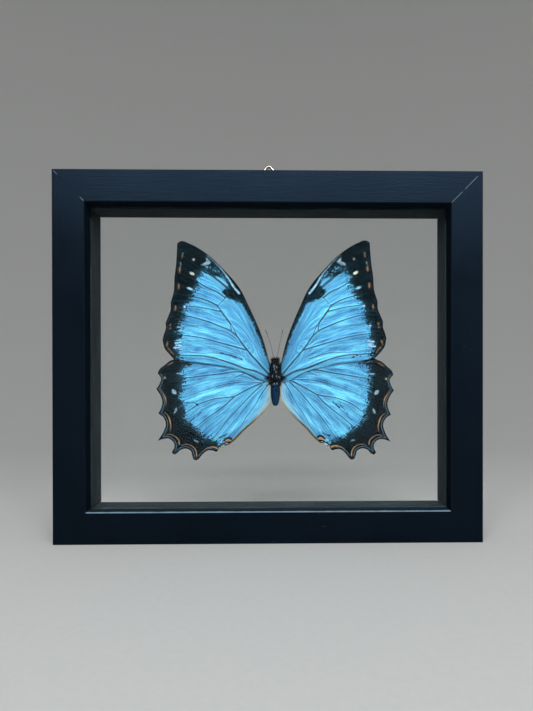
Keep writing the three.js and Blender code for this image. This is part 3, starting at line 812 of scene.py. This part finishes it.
def wing_scales():
    """Blue rays over black, marked as the outline's distances say; brown with ringed spots beneath."""
    wing = Finish("wing_scales")
    fan, reach, vein, margin, arc, border, painted_fold_shading, eye, inner, under, side = map(wing.field, (
        "fan", "reach", "vein", "margin", "arc", "border", "painted_fold_shading", "eye", "inner", "under", "side",
    ))
    mark = {name: wing.field(name) for name in MARKS}
    dust = wing.noise(2600.0, detail=1.0)
    grain = wing.noise(900.0, detail=2.0)
    speckle = wing.noise(1700.0, detail=1.0)

    def rays(across, along, detail=1.0):
        spot = {"X": fan * across, "Y": reach * along, "Z": side * 17.0 + across}
        return wing.noise(1.0, detail, vector=wing.node("ShaderNodeCombineXYZ", None, spot))

    broad, fine = rays(2.4, 0.035), rays(30.0, 0.2, 2.0)
    middling = rays(8.0, 0.11, 2.0).ramp(0.30, 0.70)
    # The blue's tone comes from the scale rays and dust, with the folds' painted light and shade added in.
    tone_and_fold_shading = broad * 0.34 + middling * 0.30 + fine * 0.28 + dust * 0.30 + painted_fold_shading * 0.15 - 0.11
    blue = wing.colours(tone_and_fold_shading, [
        (0.22, (0.012, 0.055, 0.130)),
        (0.38, (0.036, 0.145, 0.280)),
        (0.52, (0.062, 0.235, 0.395)),
        (0.66, (0.088, 0.350, 0.520)),
        (0.86, (0.150, 0.520, 0.640)),
    ])
    # The inner margin of the hindwing pales, and the roots of the wings deepen.
    paling = inner.ramp(4.5, 0.6) * reach.ramp(36.0, 8.0)
    blue = wing.mix(paling * (0.35 + 0.6 * middling), blue, (0.27, 0.42, 0.47))
    blue = wing.mix(reach.ramp(14.0, 4.0) * 0.45, blue, (0.018, 0.085, 0.20))
    # Black scales are sprinkled through the blue towards its border, and along the front edge it darkens.
    fray = margin.ramp(18.0, 12.0)
    sprinkled = speckle.ramp(0.58, 0.66) * border.ramp(-13.0, -2.0)
    blue = wing.mix(sprinkled * (0.25 + 0.35 * fray), blue, (0.016, 0.070, 0.120))
    front_shade = border.ramp(-4.5, 0.0) * (1 - fray) * inner.ramp(6.0, 9.0)
    blue = wing.mix(front_shade * 0.45, blue, (0.040, 0.130, 0.220))
    # Beside each vein runs a painted highlight in pale blue; the vein itself is then drawn as a dark line.
    blue = wing.mix(vein.band(0.66, 0.16, 0.18) * 0.4, blue, (0.13, 0.44, 0.58))
    blue = wing.mix(vein.ramp(0.38, 0.14) * (0.7 + 0.3 * middling), blue, (0.016, 0.022, 0.026))
    margin_tan = wing.mix(reach.ramp(15.0, 29.0), (0.23, 0.24, 0.18), (0.085, 0.054, 0.017))
    blue = wing.mix(inner.ramp(1.15, 0.7), blue, margin_tan)

    # The border frays towards the outer margin and stays clean along the front edge.
    ragged = rays(13.0, 0.2, 3.0)
    edge = border + (ragged - 0.5) * (2.0 + 6.0 * fray) + (speckle - 0.5) * (2.6 + 6.0 * fray)
    black_mask = edge.ramp(-0.85, -0.35)
    black = wing.mix(grain.ramp(0.35, 0.75), (0.0004, 0.0025, 0.0038), (0.0036, 0.0105, 0.0158))
    stipple = dust.ramp(0.56, 0.68) * border.ramp(4.0, 0.0)
    black = wing.mix(stipple * 0.4, black, (0.040, 0.15, 0.23))
    powder = (speckle - mark["haze"] * 0.06).ramp(0.62, 0.67) * mark["haze"].ramp(1.5, -0.2)
    black = wing.mix(powder * 0.85, black, (0.075, 0.27, 0.42))
    smoke = border.band(0.4, 0.4, 1.4) * fray
    black = wing.mix(smoke * (0.2 + 0.8 * middling), black, (0.012, 0.025, 0.032))
    top = wing.mix(black_mask, blue, black)
    rim_line = margin.band(0.95, 0.10, 0.12) * (0.12 + 0.88 * arc.ramp(0.05, 0.4))
    top = wing.mix(rim_line * (0.45 + 0.6 * grain), top, (0.110, 0.190, 0.255))

    rough_edge = (dust - 0.5) * 0.9
    amber = wing.mix(mark["amber"].ramp(0.0, -0.3), (0.100, 0.060, 0.035), (0.42, 0.24, 0.090))
    top = wing.mix((mark["amber"] + rough_edge * 0.4).ramp(0.14, -0.10) * 0.9, top, amber)
    # The marginal spots of the forewing are dull; the one in the corner of the hindwing is clear orange.
    in_corner = inner.ramp(8.5, 7.0)
    rust = wing.mix(in_corner, (0.17, 0.10, 0.052), (0.30, 0.125, 0.008))
    top = wing.mix((mark["rust"] + rough_edge).ramp(0.16, -0.12) * (0.85 + 0.15 * in_corner), top, rust)
    # The other marks: colour of their thin and dense scales, start and end of their edge, and cover.
    blotchy = grain.ramp(0.35, 0.65)
    for name, thin, dense, outside, within, cover in (
        ("ink", (0.003, 0.005, 0.008), (0.003, 0.005, 0.008), 0.12, -0.08, 1.0),
        ("dim", (0.07, 0.125, 0.155), (0.20, 0.31, 0.35), 0.20, -0.16, 0.85),
        ("cream", (0.26, 0.22, 0.16), (0.40, 0.44, 0.36), 0.16, -0.12, 1.0),
        ("pale", (0.11, 0.25, 0.37), (0.28, 0.44, 0.54), 0.16, -0.14, 0.95),
    ):
        shape = (mark[name] + rough_edge).ramp(outside, within)
        top = wing.mix(shape * cover, top, wing.mix(blotchy, thin, dense))

    brown = wing.mix(middling.ramp(0.3, 0.7), (0.055, 0.032, 0.018), (0.12, 0.072, 0.040))
    pale_bands = border.band(-1.0, 0.5, 0.5) + margin.band(2.2, 0.35, 0.3)
    brown = wing.mix(pale_bands * 0.7, brown, (0.36, 0.29, 0.19))
    brown = wing.mix(vein.ramp(0.6, 0.2) * 0.6, brown, (0.22, 0.16, 0.09))
    rings = wing.colours(eye, [
        (0.08, (0.75, 0.78, 0.78)),
        (0.16, (0.006, 0.006, 0.008)),
        (0.52, (0.010, 0.009, 0.010)),
        (0.60, (0.42, 0.26, 0.06)),
        (0.80, (0.38, 0.24, 0.07)),
        (0.90, (0.015, 0.010, 0.008)),
    ])
    brown = wing.mix(eye.ramp(1.04, 0.96), brown, rings)

    shine = (1 - black_mask) * (1 - under)
    return wing.surface(
        wing.mix(under, top, brown),
        0.62 - 0.16 * shine + 0.1 * (grain - 0.5),
        {"Metallic": shine * 0.2, "Specular IOR Level": 0.02},
        height=middling * 0.5 + fine * 0.5 + dust * 0.25,
        depth=0.00011,
    )


scales = wing_scales()
sheets = {}
for name, (drawing, side, turn, out, up, base_y, own_ink) in WINGS.items():
    if id(drawing) not in sheets:
        sheets[id(drawing)] = wing_sheet(drawing)
    points, faces, runs, rim = sheets[id(drawing)]
    fields = wing_fields(drawing, points, runs, rim, own_ink)
    skin = wing_relief(fields, base_y)
    half = WING_THICKNESS / 2 * np.clip(0.35 + fields["rim"] / 2, 0, 1)
    turned = math.radians(turn)
    across = points[:, 0] * math.cos(turned) - points[:, 1] * math.sin(turned) + out
    height = points[:, 0] * math.sin(turned) + points[:, 1] * math.cos(turned) + up
    x = BUTTERFLY_X + side * across * DRAWN_NARROW
    placed = [np.column_stack([x, skin + half * face, BUTTERFLY_Z + height]) for face in (-1, 1)]
    count = len(points)
    seen_from_front = faces if side > 0 else [face[::-1] for face in faces]
    behind = [[count + i for i in face[::-1]] for face in seen_from_front]
    half_edges = {(face[i - 1], face[i]) for face in seen_from_front for i in range(len(face))}
    rim_faces = [[b, a, count + a, count + b] for a, b in half_edges if (b, a) not in half_edges]
    wing = add_mesh(name, np.concatenate(placed), seen_from_front + behind + sorted(rim_faces), scales)
    fields["side"] = np.full(count, float(side))
    for field, values in fields.items():
        layer = wing.data.attributes.new(field, "FLOAT", "POINT")
        layer.data.foreach_set("value", np.concatenate([values, values]))
    under = wing.data.attributes.new("under", "FLOAT", "POINT")
    under.data.foreach_set("value", np.repeat([0.0, 1.0], count))
    fit(wing, "wing", name)

# ---------- body ----------
# The dried insect's own body: a furry black thorax and head with a few blue-white scales, and a smooth
# navy abdomen in seven rings. Its legs are folded beneath, towards the back pane.

BODY_Y = 2.5
BODY_DEPTH_SHARE = 1.25
BODY_SIDES = 40
ABDOMEN_GROOVES = (-6.3, -7.9, -9.5, -11.1, -12.6, -13.8)
GROOVE_DEPTH = 0.09
DARK_HAIRS = 3600
PALE_HAIRS = 300
ROOT_HAIRS = 420
SHOULDER_HAIRS = 700
BODY_OUTLINE = [
    (0.02, -15.1), (0.95, -14.7), (1.55, -13.6), (1.95, -11.9), (2.2, -9.6), (2.25, -7.4), (2.15, -5.8),
    (2.15, -4.8), (2.3, -3.4), (2.45, -1), (2.35, 1.4), (2.0, 3.2), (1.45, 4.4), (1.35, 5), (1.6, 5.8),
    (1.35, 6.8), (0.7, 7.3), (0.02, 7.4),
]
body_centre = np.array([BUTTERFLY_X, BODY_Y, BUTTERFLY_Z])
seeded = np.random.default_rng(11)


def body_point(half_width, up, turn):
    """Points of the body's skin; turn 0 is its right side and a quarter turn its underside."""
    return np.column_stack([
        half_width * np.cos(turn), half_width * BODY_DEPTH_SHARE * np.sin(turn), up + 0 * turn,
    ]) + body_centre


chitin = Finish("chitin")
mottle = chitin.noise(700.0, detail=3.0)
fleck = chitin.noise(2600.0, detail=1.0)
body_up = chitin.axis("Z") - BUTTERFLY_Z * MM
navy = chitin.mix(mottle.ramp(0.35, 0.7), (0.0003, 0.006, 0.018), (0.0012, 0.021, 0.060))
navy = chitin.mix(fleck.ramp(0.50, 0.60) * 0.6, navy, (0.0004, 0.003, 0.008))
pale_collar = body_up.band(-0.0046, 0.0003, 0.0004) * fleck.ramp(0.42, 0.56)
navy = chitin.mix(pale_collar * 0.8, navy, (0.35, 0.48, 0.52))
chitin_skin = chitin.mix(body_up.ramp(-0.0046, -0.0052), (0.004, 0.005, 0.007), navy)
chitin.surface(chitin_skin, 0.55 + 0.2 * mottle, NO_SHEEN, height=mottle * 0.6 + fleck * 0.4, depth=0.00012)

profile = curve_through(BODY_OUTLINE, 0.22)
body_rings = []
for half_width, up in profile:
    groove = sum(math.exp(-(((up - place) / 0.13) ** 2)) for place in ABDOMEN_GROOVES)
    body_rings.append(body_point(half_width * (1 - GROOVE_DEPTH * groove), up, around(BODY_SIDES)))
body_faces = ring_faces(len(body_rings), BODY_SIDES)
fit(add_mesh("body", np.concatenate(body_rings), body_faces, chitin.material), "insect_body", "body")


def hairs(name, roots, tips, thickness, material):
    """Tapered bristles, each bent once half way along."""
    axis = tips - roots
    lengths = np.linalg.norm(axis, axis=1, keepdims=True)
    sideways = np.cross(axis, seeded.normal(size=axis.shape))
    sideways /= np.linalg.norm(sideways, axis=1, keepdims=True)
    upright = np.cross(axis / lengths, sideways)
    bend = sideways * lengths * 0.12
    rings = []
    for share, width, bow in ((0.0, 1.0, 0.0), (0.55, 0.7, 1.0)):
        for corner in range(3):
            turn = 2 * np.pi * corner / 3
            off = (sideways * math.cos(turn) + upright * math.sin(turn)) * thickness * width
            rings.append(roots + axis * share + bend * bow + off)
    points = np.stack([*rings, tips], axis=1).reshape(-1, 3)
    faces = []
    for first in range(0, len(points), 7):
        for i in range(3):
            j = (i + 1) % 3
            faces.append([first + i, first + j, first + 3 + j, first + 3 + i])
            faces.append([first + 3 + i, first + 3 + j, first + 6])
        faces.append([first + 2, first + 1, first])
    fit(add_mesh(name, points, faces, material), "insect_body")


def fur(name, root, tip):
    """Hair that varies from strand to strand."""
    strand = Finish(name)
    shade = strand.noise(1600.0, detail=2.0)
    colour = strand.mix(shade.ramp(0.35, 0.65), root, tip)
    return strand.surface(colour, 0.6 + 0.2 * shade, NO_SHEEN)


def half_width_at(up):
    return np.interp(up, profile[:, 1], profile[:, 0])


black_fur = fur("black_fur", (0.003, 0.004, 0.006), (0.010, 0.013, 0.018))
pale_fur = fur("blue_white_scales", (0.020, 0.070, 0.105), (0.36, 0.50, 0.55))

# The fur stands out all round, leaning down on the thorax and up on the head.
up = seeded.uniform(-4.9, 7.2, DARK_HAIRS)
turn = seeded.uniform(-math.pi, math.pi, DARK_HAIRS)
roots = body_point(half_width_at(up) * 0.97, up, turn)
outward = np.column_stack([np.cos(turn), np.sin(turn) / BODY_DEPTH_SHARE, 0 * turn])
lean = np.where(up > 4.5, 0.9, -0.9)[:, None] * (0, 0, 1)
length = seeded.uniform(0.5, 1.3, (DARK_HAIRS, 1))
swirl = seeded.normal(scale=0.25, size=outward.shape)
hairs("thorax_fur", roots, roots + (outward * 0.8 + lean + swirl) * length, 0.045, black_fur)

# Blue-white scales sit in small tufts down the back of the thorax and round the collar.
TUFTS = (
    (-0.6, 3.9), (0.7, 3.3), (-0.4, 2.2), (0.3, 1.1), (-1.3, -0.9), (0.6, -0.9), (1.8, -1.3),
    (-0.5, -4.5), (0.8, -4.2),
)
tuft_roots = []
for i in range(PALE_HAIRS):
    across, up = np.array(TUFTS[i % len(TUFTS)]) + seeded.normal(scale=(0.17, 0.24))
    front = -BODY_DEPTH_SHARE * math.sqrt(max(half_width_at(up) ** 2 - across ** 2, 0.0))
    tuft_roots.append(body_centre + (across, front - 0.15, up))
tuft_roots = np.array(tuft_roots)
swirl = seeded.normal(scale=0.2, size=tuft_roots.shape)
length = seeded.uniform(0.4, 0.9, (PALE_HAIRS, 1))
hairs("thorax_scales", tuft_roots, tuft_roots + ((0, -0.75, -0.8) + swirl) * length, 0.05, pale_fur)


def roots_beside(root_up, nearest, farthest, front, back):
    """Hair roots at these heights, on either side of the body in turn."""
    side = np.where(np.arange(len(root_up)) % 2, 1.0, -1.0)
    out = seeded.uniform(nearest, farthest, len(root_up))
    depth = seeded.uniform(front, back, len(root_up))
    return side, body_centre + np.column_stack([side * out, depth, root_up])


# Longer black hair lies out over the roots of the hindwings.
root_up = seeded.normal(-1.9, 0.8, ROOT_HAIRS)
side, roots = roots_beside(root_up, 1.6, 3.4, -1.9, -1.2)
reach = seeded.uniform(0.6, 3.4, ROOT_HAIRS) * np.exp(-((root_up + 1.9) ** 2))
rise = seeded.normal(0, 0.5, ROOT_HAIRS)
tips = roots + np.column_stack([side * reach, seeded.uniform(-0.5, 0.1, ROOT_HAIRS), rise])
hairs("wing_root_fur", roots, tips, 0.055, black_fur)

# The shoulders carry hair too, combed up along the front edges of the forewings.
side, roots = roots_beside(seeded.uniform(0.6, 4.6, SHOULDER_HAIRS), 1.2, 2.5, -2.1, -1.2)
length = seeded.uniform(0.7, 1.9, (SHOULDER_HAIRS, 1))
combed = np.column_stack([side * seeded.uniform(0.0, 0.5, SHOULDER_HAIRS), 0 * side, 0 * side + 0.9])
swirl = seeded.normal(scale=0.12, size=combed.shape)
hairs("shoulder_fur", roots, roots + (combed + swirl) * length, 0.05, black_fur)


def tube(path, radii, sides, closed=False):
    """Points and faces of a round tube along a path."""
    path = np.array(path, float)
    ahead = np.roll(path, -1, axis=0) - np.roll(path, 1, axis=0)
    if not closed:
        ahead[0], ahead[-1] = path[1] - path[0], path[-1] - path[-2]
    ahead /= np.linalg.norm(ahead, axis=1, keepdims=True)
    normal = np.cross(ahead[0], (0.31, 0.87, 0.38))
    points = []
    for here, along, radius in zip(path, ahead, np.broadcast_to(radii, len(path))):
        normal = normal - along * (normal @ along)
        normal = normal / np.linalg.norm(normal)
        other = np.cross(along, normal)
        for turn in around(sides):
            points.append(here + radius * (normal * math.cos(turn) + other * math.sin(turn)))
    faces = ring_faces(len(path), sides)
    if closed:
        last = (len(path) - 1) * sides
        faces = faces[2:] + [[last + i, last + (i + 1) % sides, (i + 1) % sides, i] for i in range(sides)]
    return np.array(points), faces


def join_parts(parts):
    """One mesh from several lists of points and faces."""
    points, faces = [], []
    for part_points, part_faces in parts:
        first = sum(len(some) for some in points)
        points.append(part_points)
        faces += [[first + i for i in face] for face in part_faces]
    return np.concatenate(points), faces


def ball(centre, radii, rings=18, sides=24):
    """A rounded lump with its poles up and down."""
    tilts = np.linspace(-0.495 * np.pi, 0.495 * np.pi, rings)
    points, faces = lathe([(math.cos(tilt), math.sin(tilt)) for tilt in tilts], sides)
    return points * radii + centre, faces


# Two round eyes of many facets, and below the head the coiled tongue between two short palps.
EYE_OUT = 1.2
EYE_UP = 6.0
EYE_RADII = (0.62, 0.95, 0.8)
eye_glaze = Finish("compound_eye")
facet = eye_glaze.cells(9000.0)
eye_brown = eye_glaze.mix(facet.ramp(0.1, 0.7), (0.020, 0.010, 0.006), (0.004, 0.003, 0.003))
eye_glaze.surface(eye_brown, 0.18 + 0.2 * facet, height=facet, depth=-0.00002)
eyes = [ball(body_centre + (side * EYE_OUT, -0.2, EYE_UP), EYE_RADII) for side in (-1, 1)]
fit(add_mesh("eyes", *join_parts(eyes), eye_glaze.material), "insect_body")

horn = Finish("dark_horn")
horn_shade = horn.noise(1300.0, detail=2.0)
horn_brown = horn.mix(horn_shade.ramp(0.3, 0.7), (0.010, 0.008, 0.007), (0.035, 0.026, 0.020))
horn.surface(horn_brown, 0.4 + 0.2 * horn_shade, height=horn_shade, depth=0.00004)
TONGUE_TURNS = 2.6
TONGUE_STEPS = 70
tongue = []
for share in np.linspace(0, 1, TONGUE_STEPS):
    turn = 2 * math.pi * TONGUE_TURNS * share
    radius = 0.75 - 0.55 * share
    tongue.append(body_centre + (0, 1.7 + radius * math.sin(turn), 6.6 + radius * math.cos(turn)))


def tapered(path, places, radii, sides):
    """A tube whose radius changes at the given shares of its length."""
    return tube(path, np.interp(np.linspace(0, 1, len(path)), places, radii), sides)


mouth_parts = [tapered(tongue, (0, 1), (0.1, 0.04), 8)]
for side in (-1, 1):
    palp = curve_through([(0.35, 0.4, 6.4), (0.5, 0.1, 7.4), (0.42, -0.5, 8.3)], 0.15) * (side, 1, 1)
    mouth_parts.append(tapered(palp + body_centre, (0, 0.6, 1), (0.3, 0.26, 0.05), 10))
fit(add_mesh("palps_and_tongue", *join_parts(mouth_parts), horn.material), "insect_body")

# Four walking legs, folded beside the dab of glue.
LEG_PATHS = (
    [(1, 2.6, 1.8), (2.6, 3.1, 3.6), (3.2, 3.7, 2.6), (3.1, 4.1, -1.2), (3.4, 4.2, -3.4), (3, 3.9, -4.6)],
    [(1.2, 2.7, -0.6), (2.8, 3.2, 0.4), (3.5, 3.8, -0.8), (2.6, 4.2, -4.2), (1.9, 4.2, -6.8),
     (1.6, 3.9, -7.8)],
)
leg_parts = []
for route in LEG_PATHS:
    for side in (-1, 1):
        leg = curve_through(route, 0.2) * (side, 1, 1) + body_centre
        leg_parts.append(tapered(leg, (0, 0.3, 0.35, 0.65, 1), (0.3, 0.24, 0.19, 0.14, 0.06), 8))
fit(add_mesh("legs", *join_parts(leg_parts), horn.material), "insect_body")

# ---------- antennae ----------
# Two hair-thin feelers of dry horn, each swelling into a small club. They grow from the head between the
# eyes and lean a little towards the front pane.

ANTENNA_Y = 0.7
ANTENNA_LEAN = 1.0
ANTENNA_SHAFT = 0.085
ANTENNA_CLUB = 0.19
for name, side, tip_out, tip_up in (("antenna_left", -1, 4.6, 20.5), ("antenna_right", 1, 3.6, 20.7)):
    foot = [(0.8, BODY_Y - 1.3, 7.0), (1.0, ANTENNA_Y, 8.0), (1.9, ANTENNA_Y - 0.3, 13.0)]
    feeler = curve_through([*foot, (tip_out, ANTENNA_Y - ANTENNA_LEAN, tip_up)], 0.2)
    feeler = feeler * (side, 1, 1) + (BUTTERFLY_X, 0, BUTTERFLY_Z)
    radii = (ANTENNA_SHAFT, ANTENNA_SHAFT, ANTENNA_CLUB, 0.12, 0.02)
    skin = tapered(feeler, (0, 0.82, 0.93, 0.99, 1), radii, 10)
    fit(add_mesh(name, *skin, horn.material), "insect_body", name)

# ---------- dab of glue ----------
# Clear glue, gone slightly yellow, that holds the underside of the thorax to the back pane. It was
# squeezed out as one dab and has spread unevenly against the glass.

glue_low, glue_high = solid_box("glue_dot")
glue_centre = (glue_low + glue_high) / 2
GLUE_RADIUS = (glue_high[0] - glue_low[0]) / 2
GLUE_SIDES = 48
# Share of the radius, and of the way from the thorax to the back pane.
GLUE_PROFILE = (
    (0.02, 0.02), (0.35, 0.0), (0.62, 0.08), (0.78, 0.3), (0.86, 0.6), (0.98, 0.88), (0.96, 1.0), (0.02, 1.0),
)
glue_points = []
for reach, depth in curve_through(GLUE_PROFILE, 0.06):
    back = glue_low[1] + (glue_high[1] - glue_low[1]) * min(max(depth, 0.0), 1.0)
    for turn in around(GLUE_SIDES):
        wobble = 0.94 + 0.05 * math.sin(3 * turn + 0.7) * reach + 0.02 * math.sin(7 * turn)
        radius = GLUE_RADIUS * min(abs(reach), 1.0) * wobble
        x, z = radius * math.cos(turn), -radius * math.sin(turn)
        glue_points.append((glue_centre[0] + x, back, glue_centre[2] + z))
clear_glue = Finish("clear_glue")
cloud = clear_glue.noise(900.0, detail=3.0)
yellowed = clear_glue.mix(cloud.ramp(0.3, 0.7), (0.62, 0.57, 0.42), (0.80, 0.77, 0.66))
see_through = {"Transmission Weight": 0.55, "IOR": 1.47}
clear_glue.surface(yellowed, 0.16 + 0.14 * cloud, see_through, height=cloud, depth=0.00008)
glue_faces = ring_faces(len(glue_points) // GLUE_SIDES, GLUE_SIDES)
fit(add_mesh("glue_dot", glue_points, glue_faces, clear_glue.material), "glue", "glue_dot")

# ---------- spacers and beads ----------
# Dark strips glued round the rebate hold the panes apart. Behind the back pane, beads of black-painted
# wood with one rounded edge are sprung in to keep the glass from falling out.

SPACER_EDGE = 0.25
BEAD_EDGE = 0.15
BEAD_ROUND = 1.7
STRIP_STATIONS = 30


def strip(name, slot, material, edge, inner_back_edge):
    """A straight strip that fills its CAD node's box, with its own radius on the inner back edge."""
    low, high = solid_box(name)
    run = int(np.argmax(high - low))
    rise = 2 - run
    middle = FRAME_HEIGHT / 2 if rise == 2 else 0.0
    lies_low = (low[rise] + high[rise]) / 2 < middle
    corners = []
    for y, top in ((low[1], False), (high[1], False), (high[1], True), (low[1], True)):
        is_inner_back = y == high[1] and top == lies_low
        corners.append((y, (high if top else low)[rise], inner_back_edge if is_inner_back else edge))
    section = rounded(corners, steps=6)
    if run == 2:
        section = section[::-1]
    points = []
    for along in np.linspace(low[run], high[run], STRIP_STATIONS):
        ring = np.empty((len(section), 3))
        ring[:, run], ring[:, 1], ring[:, rise] = along, section[:, 0], section[:, 1]
        points.append(ring)
    faces = ring_faces(STRIP_STATIONS, len(section))
    piece = add_mesh(name, np.concatenate(points), faces, material, crisp=True)
    fit(piece, slot, name)


foam = Finish("dark_spacer_board")
cells = foam.noise(1500.0, detail=2.0)
scuff = foam.noise(1.0, detail=3.0, vector=foam.stretched((60.0, 900.0, 60.0)))
foam_grey = foam.mix(scuff.ramp(0.3, 0.75), (0.015, 0.021, 0.024), (0.027, 0.037, 0.043))
foam_height = cells * 0.6 + scuff * 0.4
foam.surface(foam_grey, 0.72 + 0.2 * cells, {"Specular IOR Level": 0.1}, height=foam_height, depth=0.00008)
for end in ("top", "bottom", "left", "right"):
    strip(f"spacer_{end}", "spacer", foam.material, SPACER_EDGE, SPACER_EDGE)
    strip(f"bead_{end}", "black_paint", flat_black, BEAD_EDGE, BEAD_ROUND)

# ---------- hanger ----------
# A triangle of plated wire in the rolled eye of a small strap of the same finish, which one pan-head
# screw holds to the back of the top rail.

loop_low, loop_high = solid_box("hanger_loop")
WIRE_RADIUS = (loop_high[1] - loop_low[1]) / 2
LOOP_BEND = 2.1
HANGER_X = (loop_low[0] + loop_high[0]) / 2
loop_y = (loop_low[1] + loop_high[1]) / 2
eye_z = loop_low[2] + WIRE_RADIUS

plated = Finish("plated_wire")
tarnish = plated.noise(420.0, detail=3.0)
draw_lines = plated.noise(3200.0, detail=1.0)
plating = plated.mix(tarnish.ramp(0.35, 0.75), (0.50, 0.48, 0.41), (0.20, 0.17, 0.12))
metal = {"Metallic": 1.0 - 0.15 * tarnish}
plated.surface(plating, 0.08 + 0.16 * tarnish, metal, height=draw_lines, depth=0.00002)

sharp_top = loop_high[2] - WIRE_RADIUS + 0.75 * LOOP_BEND
half_base = (sharp_top - eye_z) * math.tan(math.pi / 6)
corners = [np.array(spot) for spot in ((0, sharp_top), (-half_base, eye_z), (half_base, eye_z))]
ease = LOOP_BEND / math.tan(math.pi / 6)
loop_path = []
for i, corner in enumerate(corners):
    before = corners[i - 1] - corner
    after = corners[(i + 1) % 3] - corner
    start = corner + before / np.linalg.norm(before) * ease
    end = corner + after / np.linalg.norm(after) * ease
    for t in np.linspace(0, 1, 12):
        loop_path.append((1 - t) ** 2 * start + 2 * t * (1 - t) * corner + t * t * end)
    for t in np.linspace(0.1, 0.9, 9):
        loop_path.append(end + (after - 2 * ease * after / np.linalg.norm(after)) * t)
loop_path = [(HANGER_X + x, loop_y, z) for x, z in loop_path]
loop = add_mesh("hanger_loop", *tube(loop_path, WIRE_RADIUS, 20, closed=True), plated.material)
fit(loop, "wire", "hanger_loop")

STRAP_THICKNESS = 0.8
STRAP_FOOT_ROUND = 2.6
STRAP_COLUMNS = 14
strap_low, strap_high = solid_box("hanger_strap")
strap_half = (strap_high[0] - strap_low[0]) / 2
eye_outside = loop_y - strap_low[1] - 0.02
# The strap's section runs up its face on the wood and round the eye, then back inside.
outer = [(strap_low[1], z) for z in np.linspace(strap_low[2], eye_z, 16)]
inner = [(y + STRAP_THICKNESS, z) for y, z in outer]
for turn in np.radians(np.linspace(172, -122, 40)):
    way = np.array([math.cos(turn), math.sin(turn)])
    outer.append(way * eye_outside + (loop_y, eye_z))
    inner.append(way * (eye_outside - STRAP_THICKNESS) + (loop_y, eye_z))
section = outer + inner[::-1]
strap_points = []
for share in np.linspace(1, -1, STRAP_COLUMNS):
    for y, z in section:
        drop = max(0.0, STRAP_FOOT_ROUND - (z - strap_low[2]))
        half = strap_half - STRAP_FOOT_ROUND + math.sqrt(STRAP_FOOT_ROUND ** 2 - drop ** 2)
        strap_points.append((HANGER_X + share * half, y, z))
count = len(section)
strap_faces = ring_faces(STRAP_COLUMNS, count)[2:]
for first, order in ((0, -1), ((STRAP_COLUMNS - 1) * count, 1)):
    for i in range(count // 2 - 1):
        quad = [first + i, first + i + 1, first + count - 2 - i, first + count - 1 - i]
        strap_faces.append(quad[::order])
strap = add_mesh("hanger_strap", strap_points, strap_faces, plated.material, crisp=True)
fit(strap, "wire", "hanger_strap")

SCREW_RINGS = 26
SCREW_SIDES = 72
CROSS_HALF_WIDTH = 0.3
CROSS_REACH = 1.2
CROSS_DEPTH = 0.55
SHANK_RADIUS = 1.0
SHANK_LENGTH = 2.0
screw_low, screw_high = solid_box("hanger_screw")
screw_x = (screw_low[0] + screw_high[0]) / 2
screw_z = (screw_low[2] + screw_high[2]) / 2
HEAD_RADIUS = (screw_high[0] - screw_low[0]) / 2
HEAD_HEIGHT = 1.1
head_back = screw_high[1]
screw_points = []
for y in (head_back - HEAD_HEIGHT - SHANK_LENGTH, head_back - HEAD_HEIGHT):
    for turn in around(SCREW_SIDES):
        x, z = SHANK_RADIUS * math.cos(turn), SHANK_RADIUS * math.sin(turn)
        screw_points.append((screw_x + x, y, screw_z - z))
for ring in range(SCREW_RINGS):
    radius = HEAD_RADIUS * (1 - ring / SCREW_RINGS)
    dome = HEAD_HEIGHT * (1 - 0.62 * (radius / HEAD_RADIUS) ** 4)
    for turn in around(SCREW_SIDES):
        x, z = radius * math.cos(turn), radius * math.sin(turn)
        narrow, wide = sorted((abs(x + z), abs(x - z)))
        in_cross = narrow / math.sqrt(2) < CROSS_HALF_WIDTH and wide / math.sqrt(2) < CROSS_REACH
        height = dome - (CROSS_DEPTH if in_cross else 0.0) if ring else 0.0
        screw_points.append((screw_x + x, head_back - HEAD_HEIGHT + height, screw_z - z))
screw_faces = ring_faces(len(screw_points) // SCREW_SIDES, SCREW_SIDES)
screw = add_mesh("hanger_screw", screw_points, screw_faces, plated.material, crisp=True)
fit(screw, "wire", "hanger_screw")
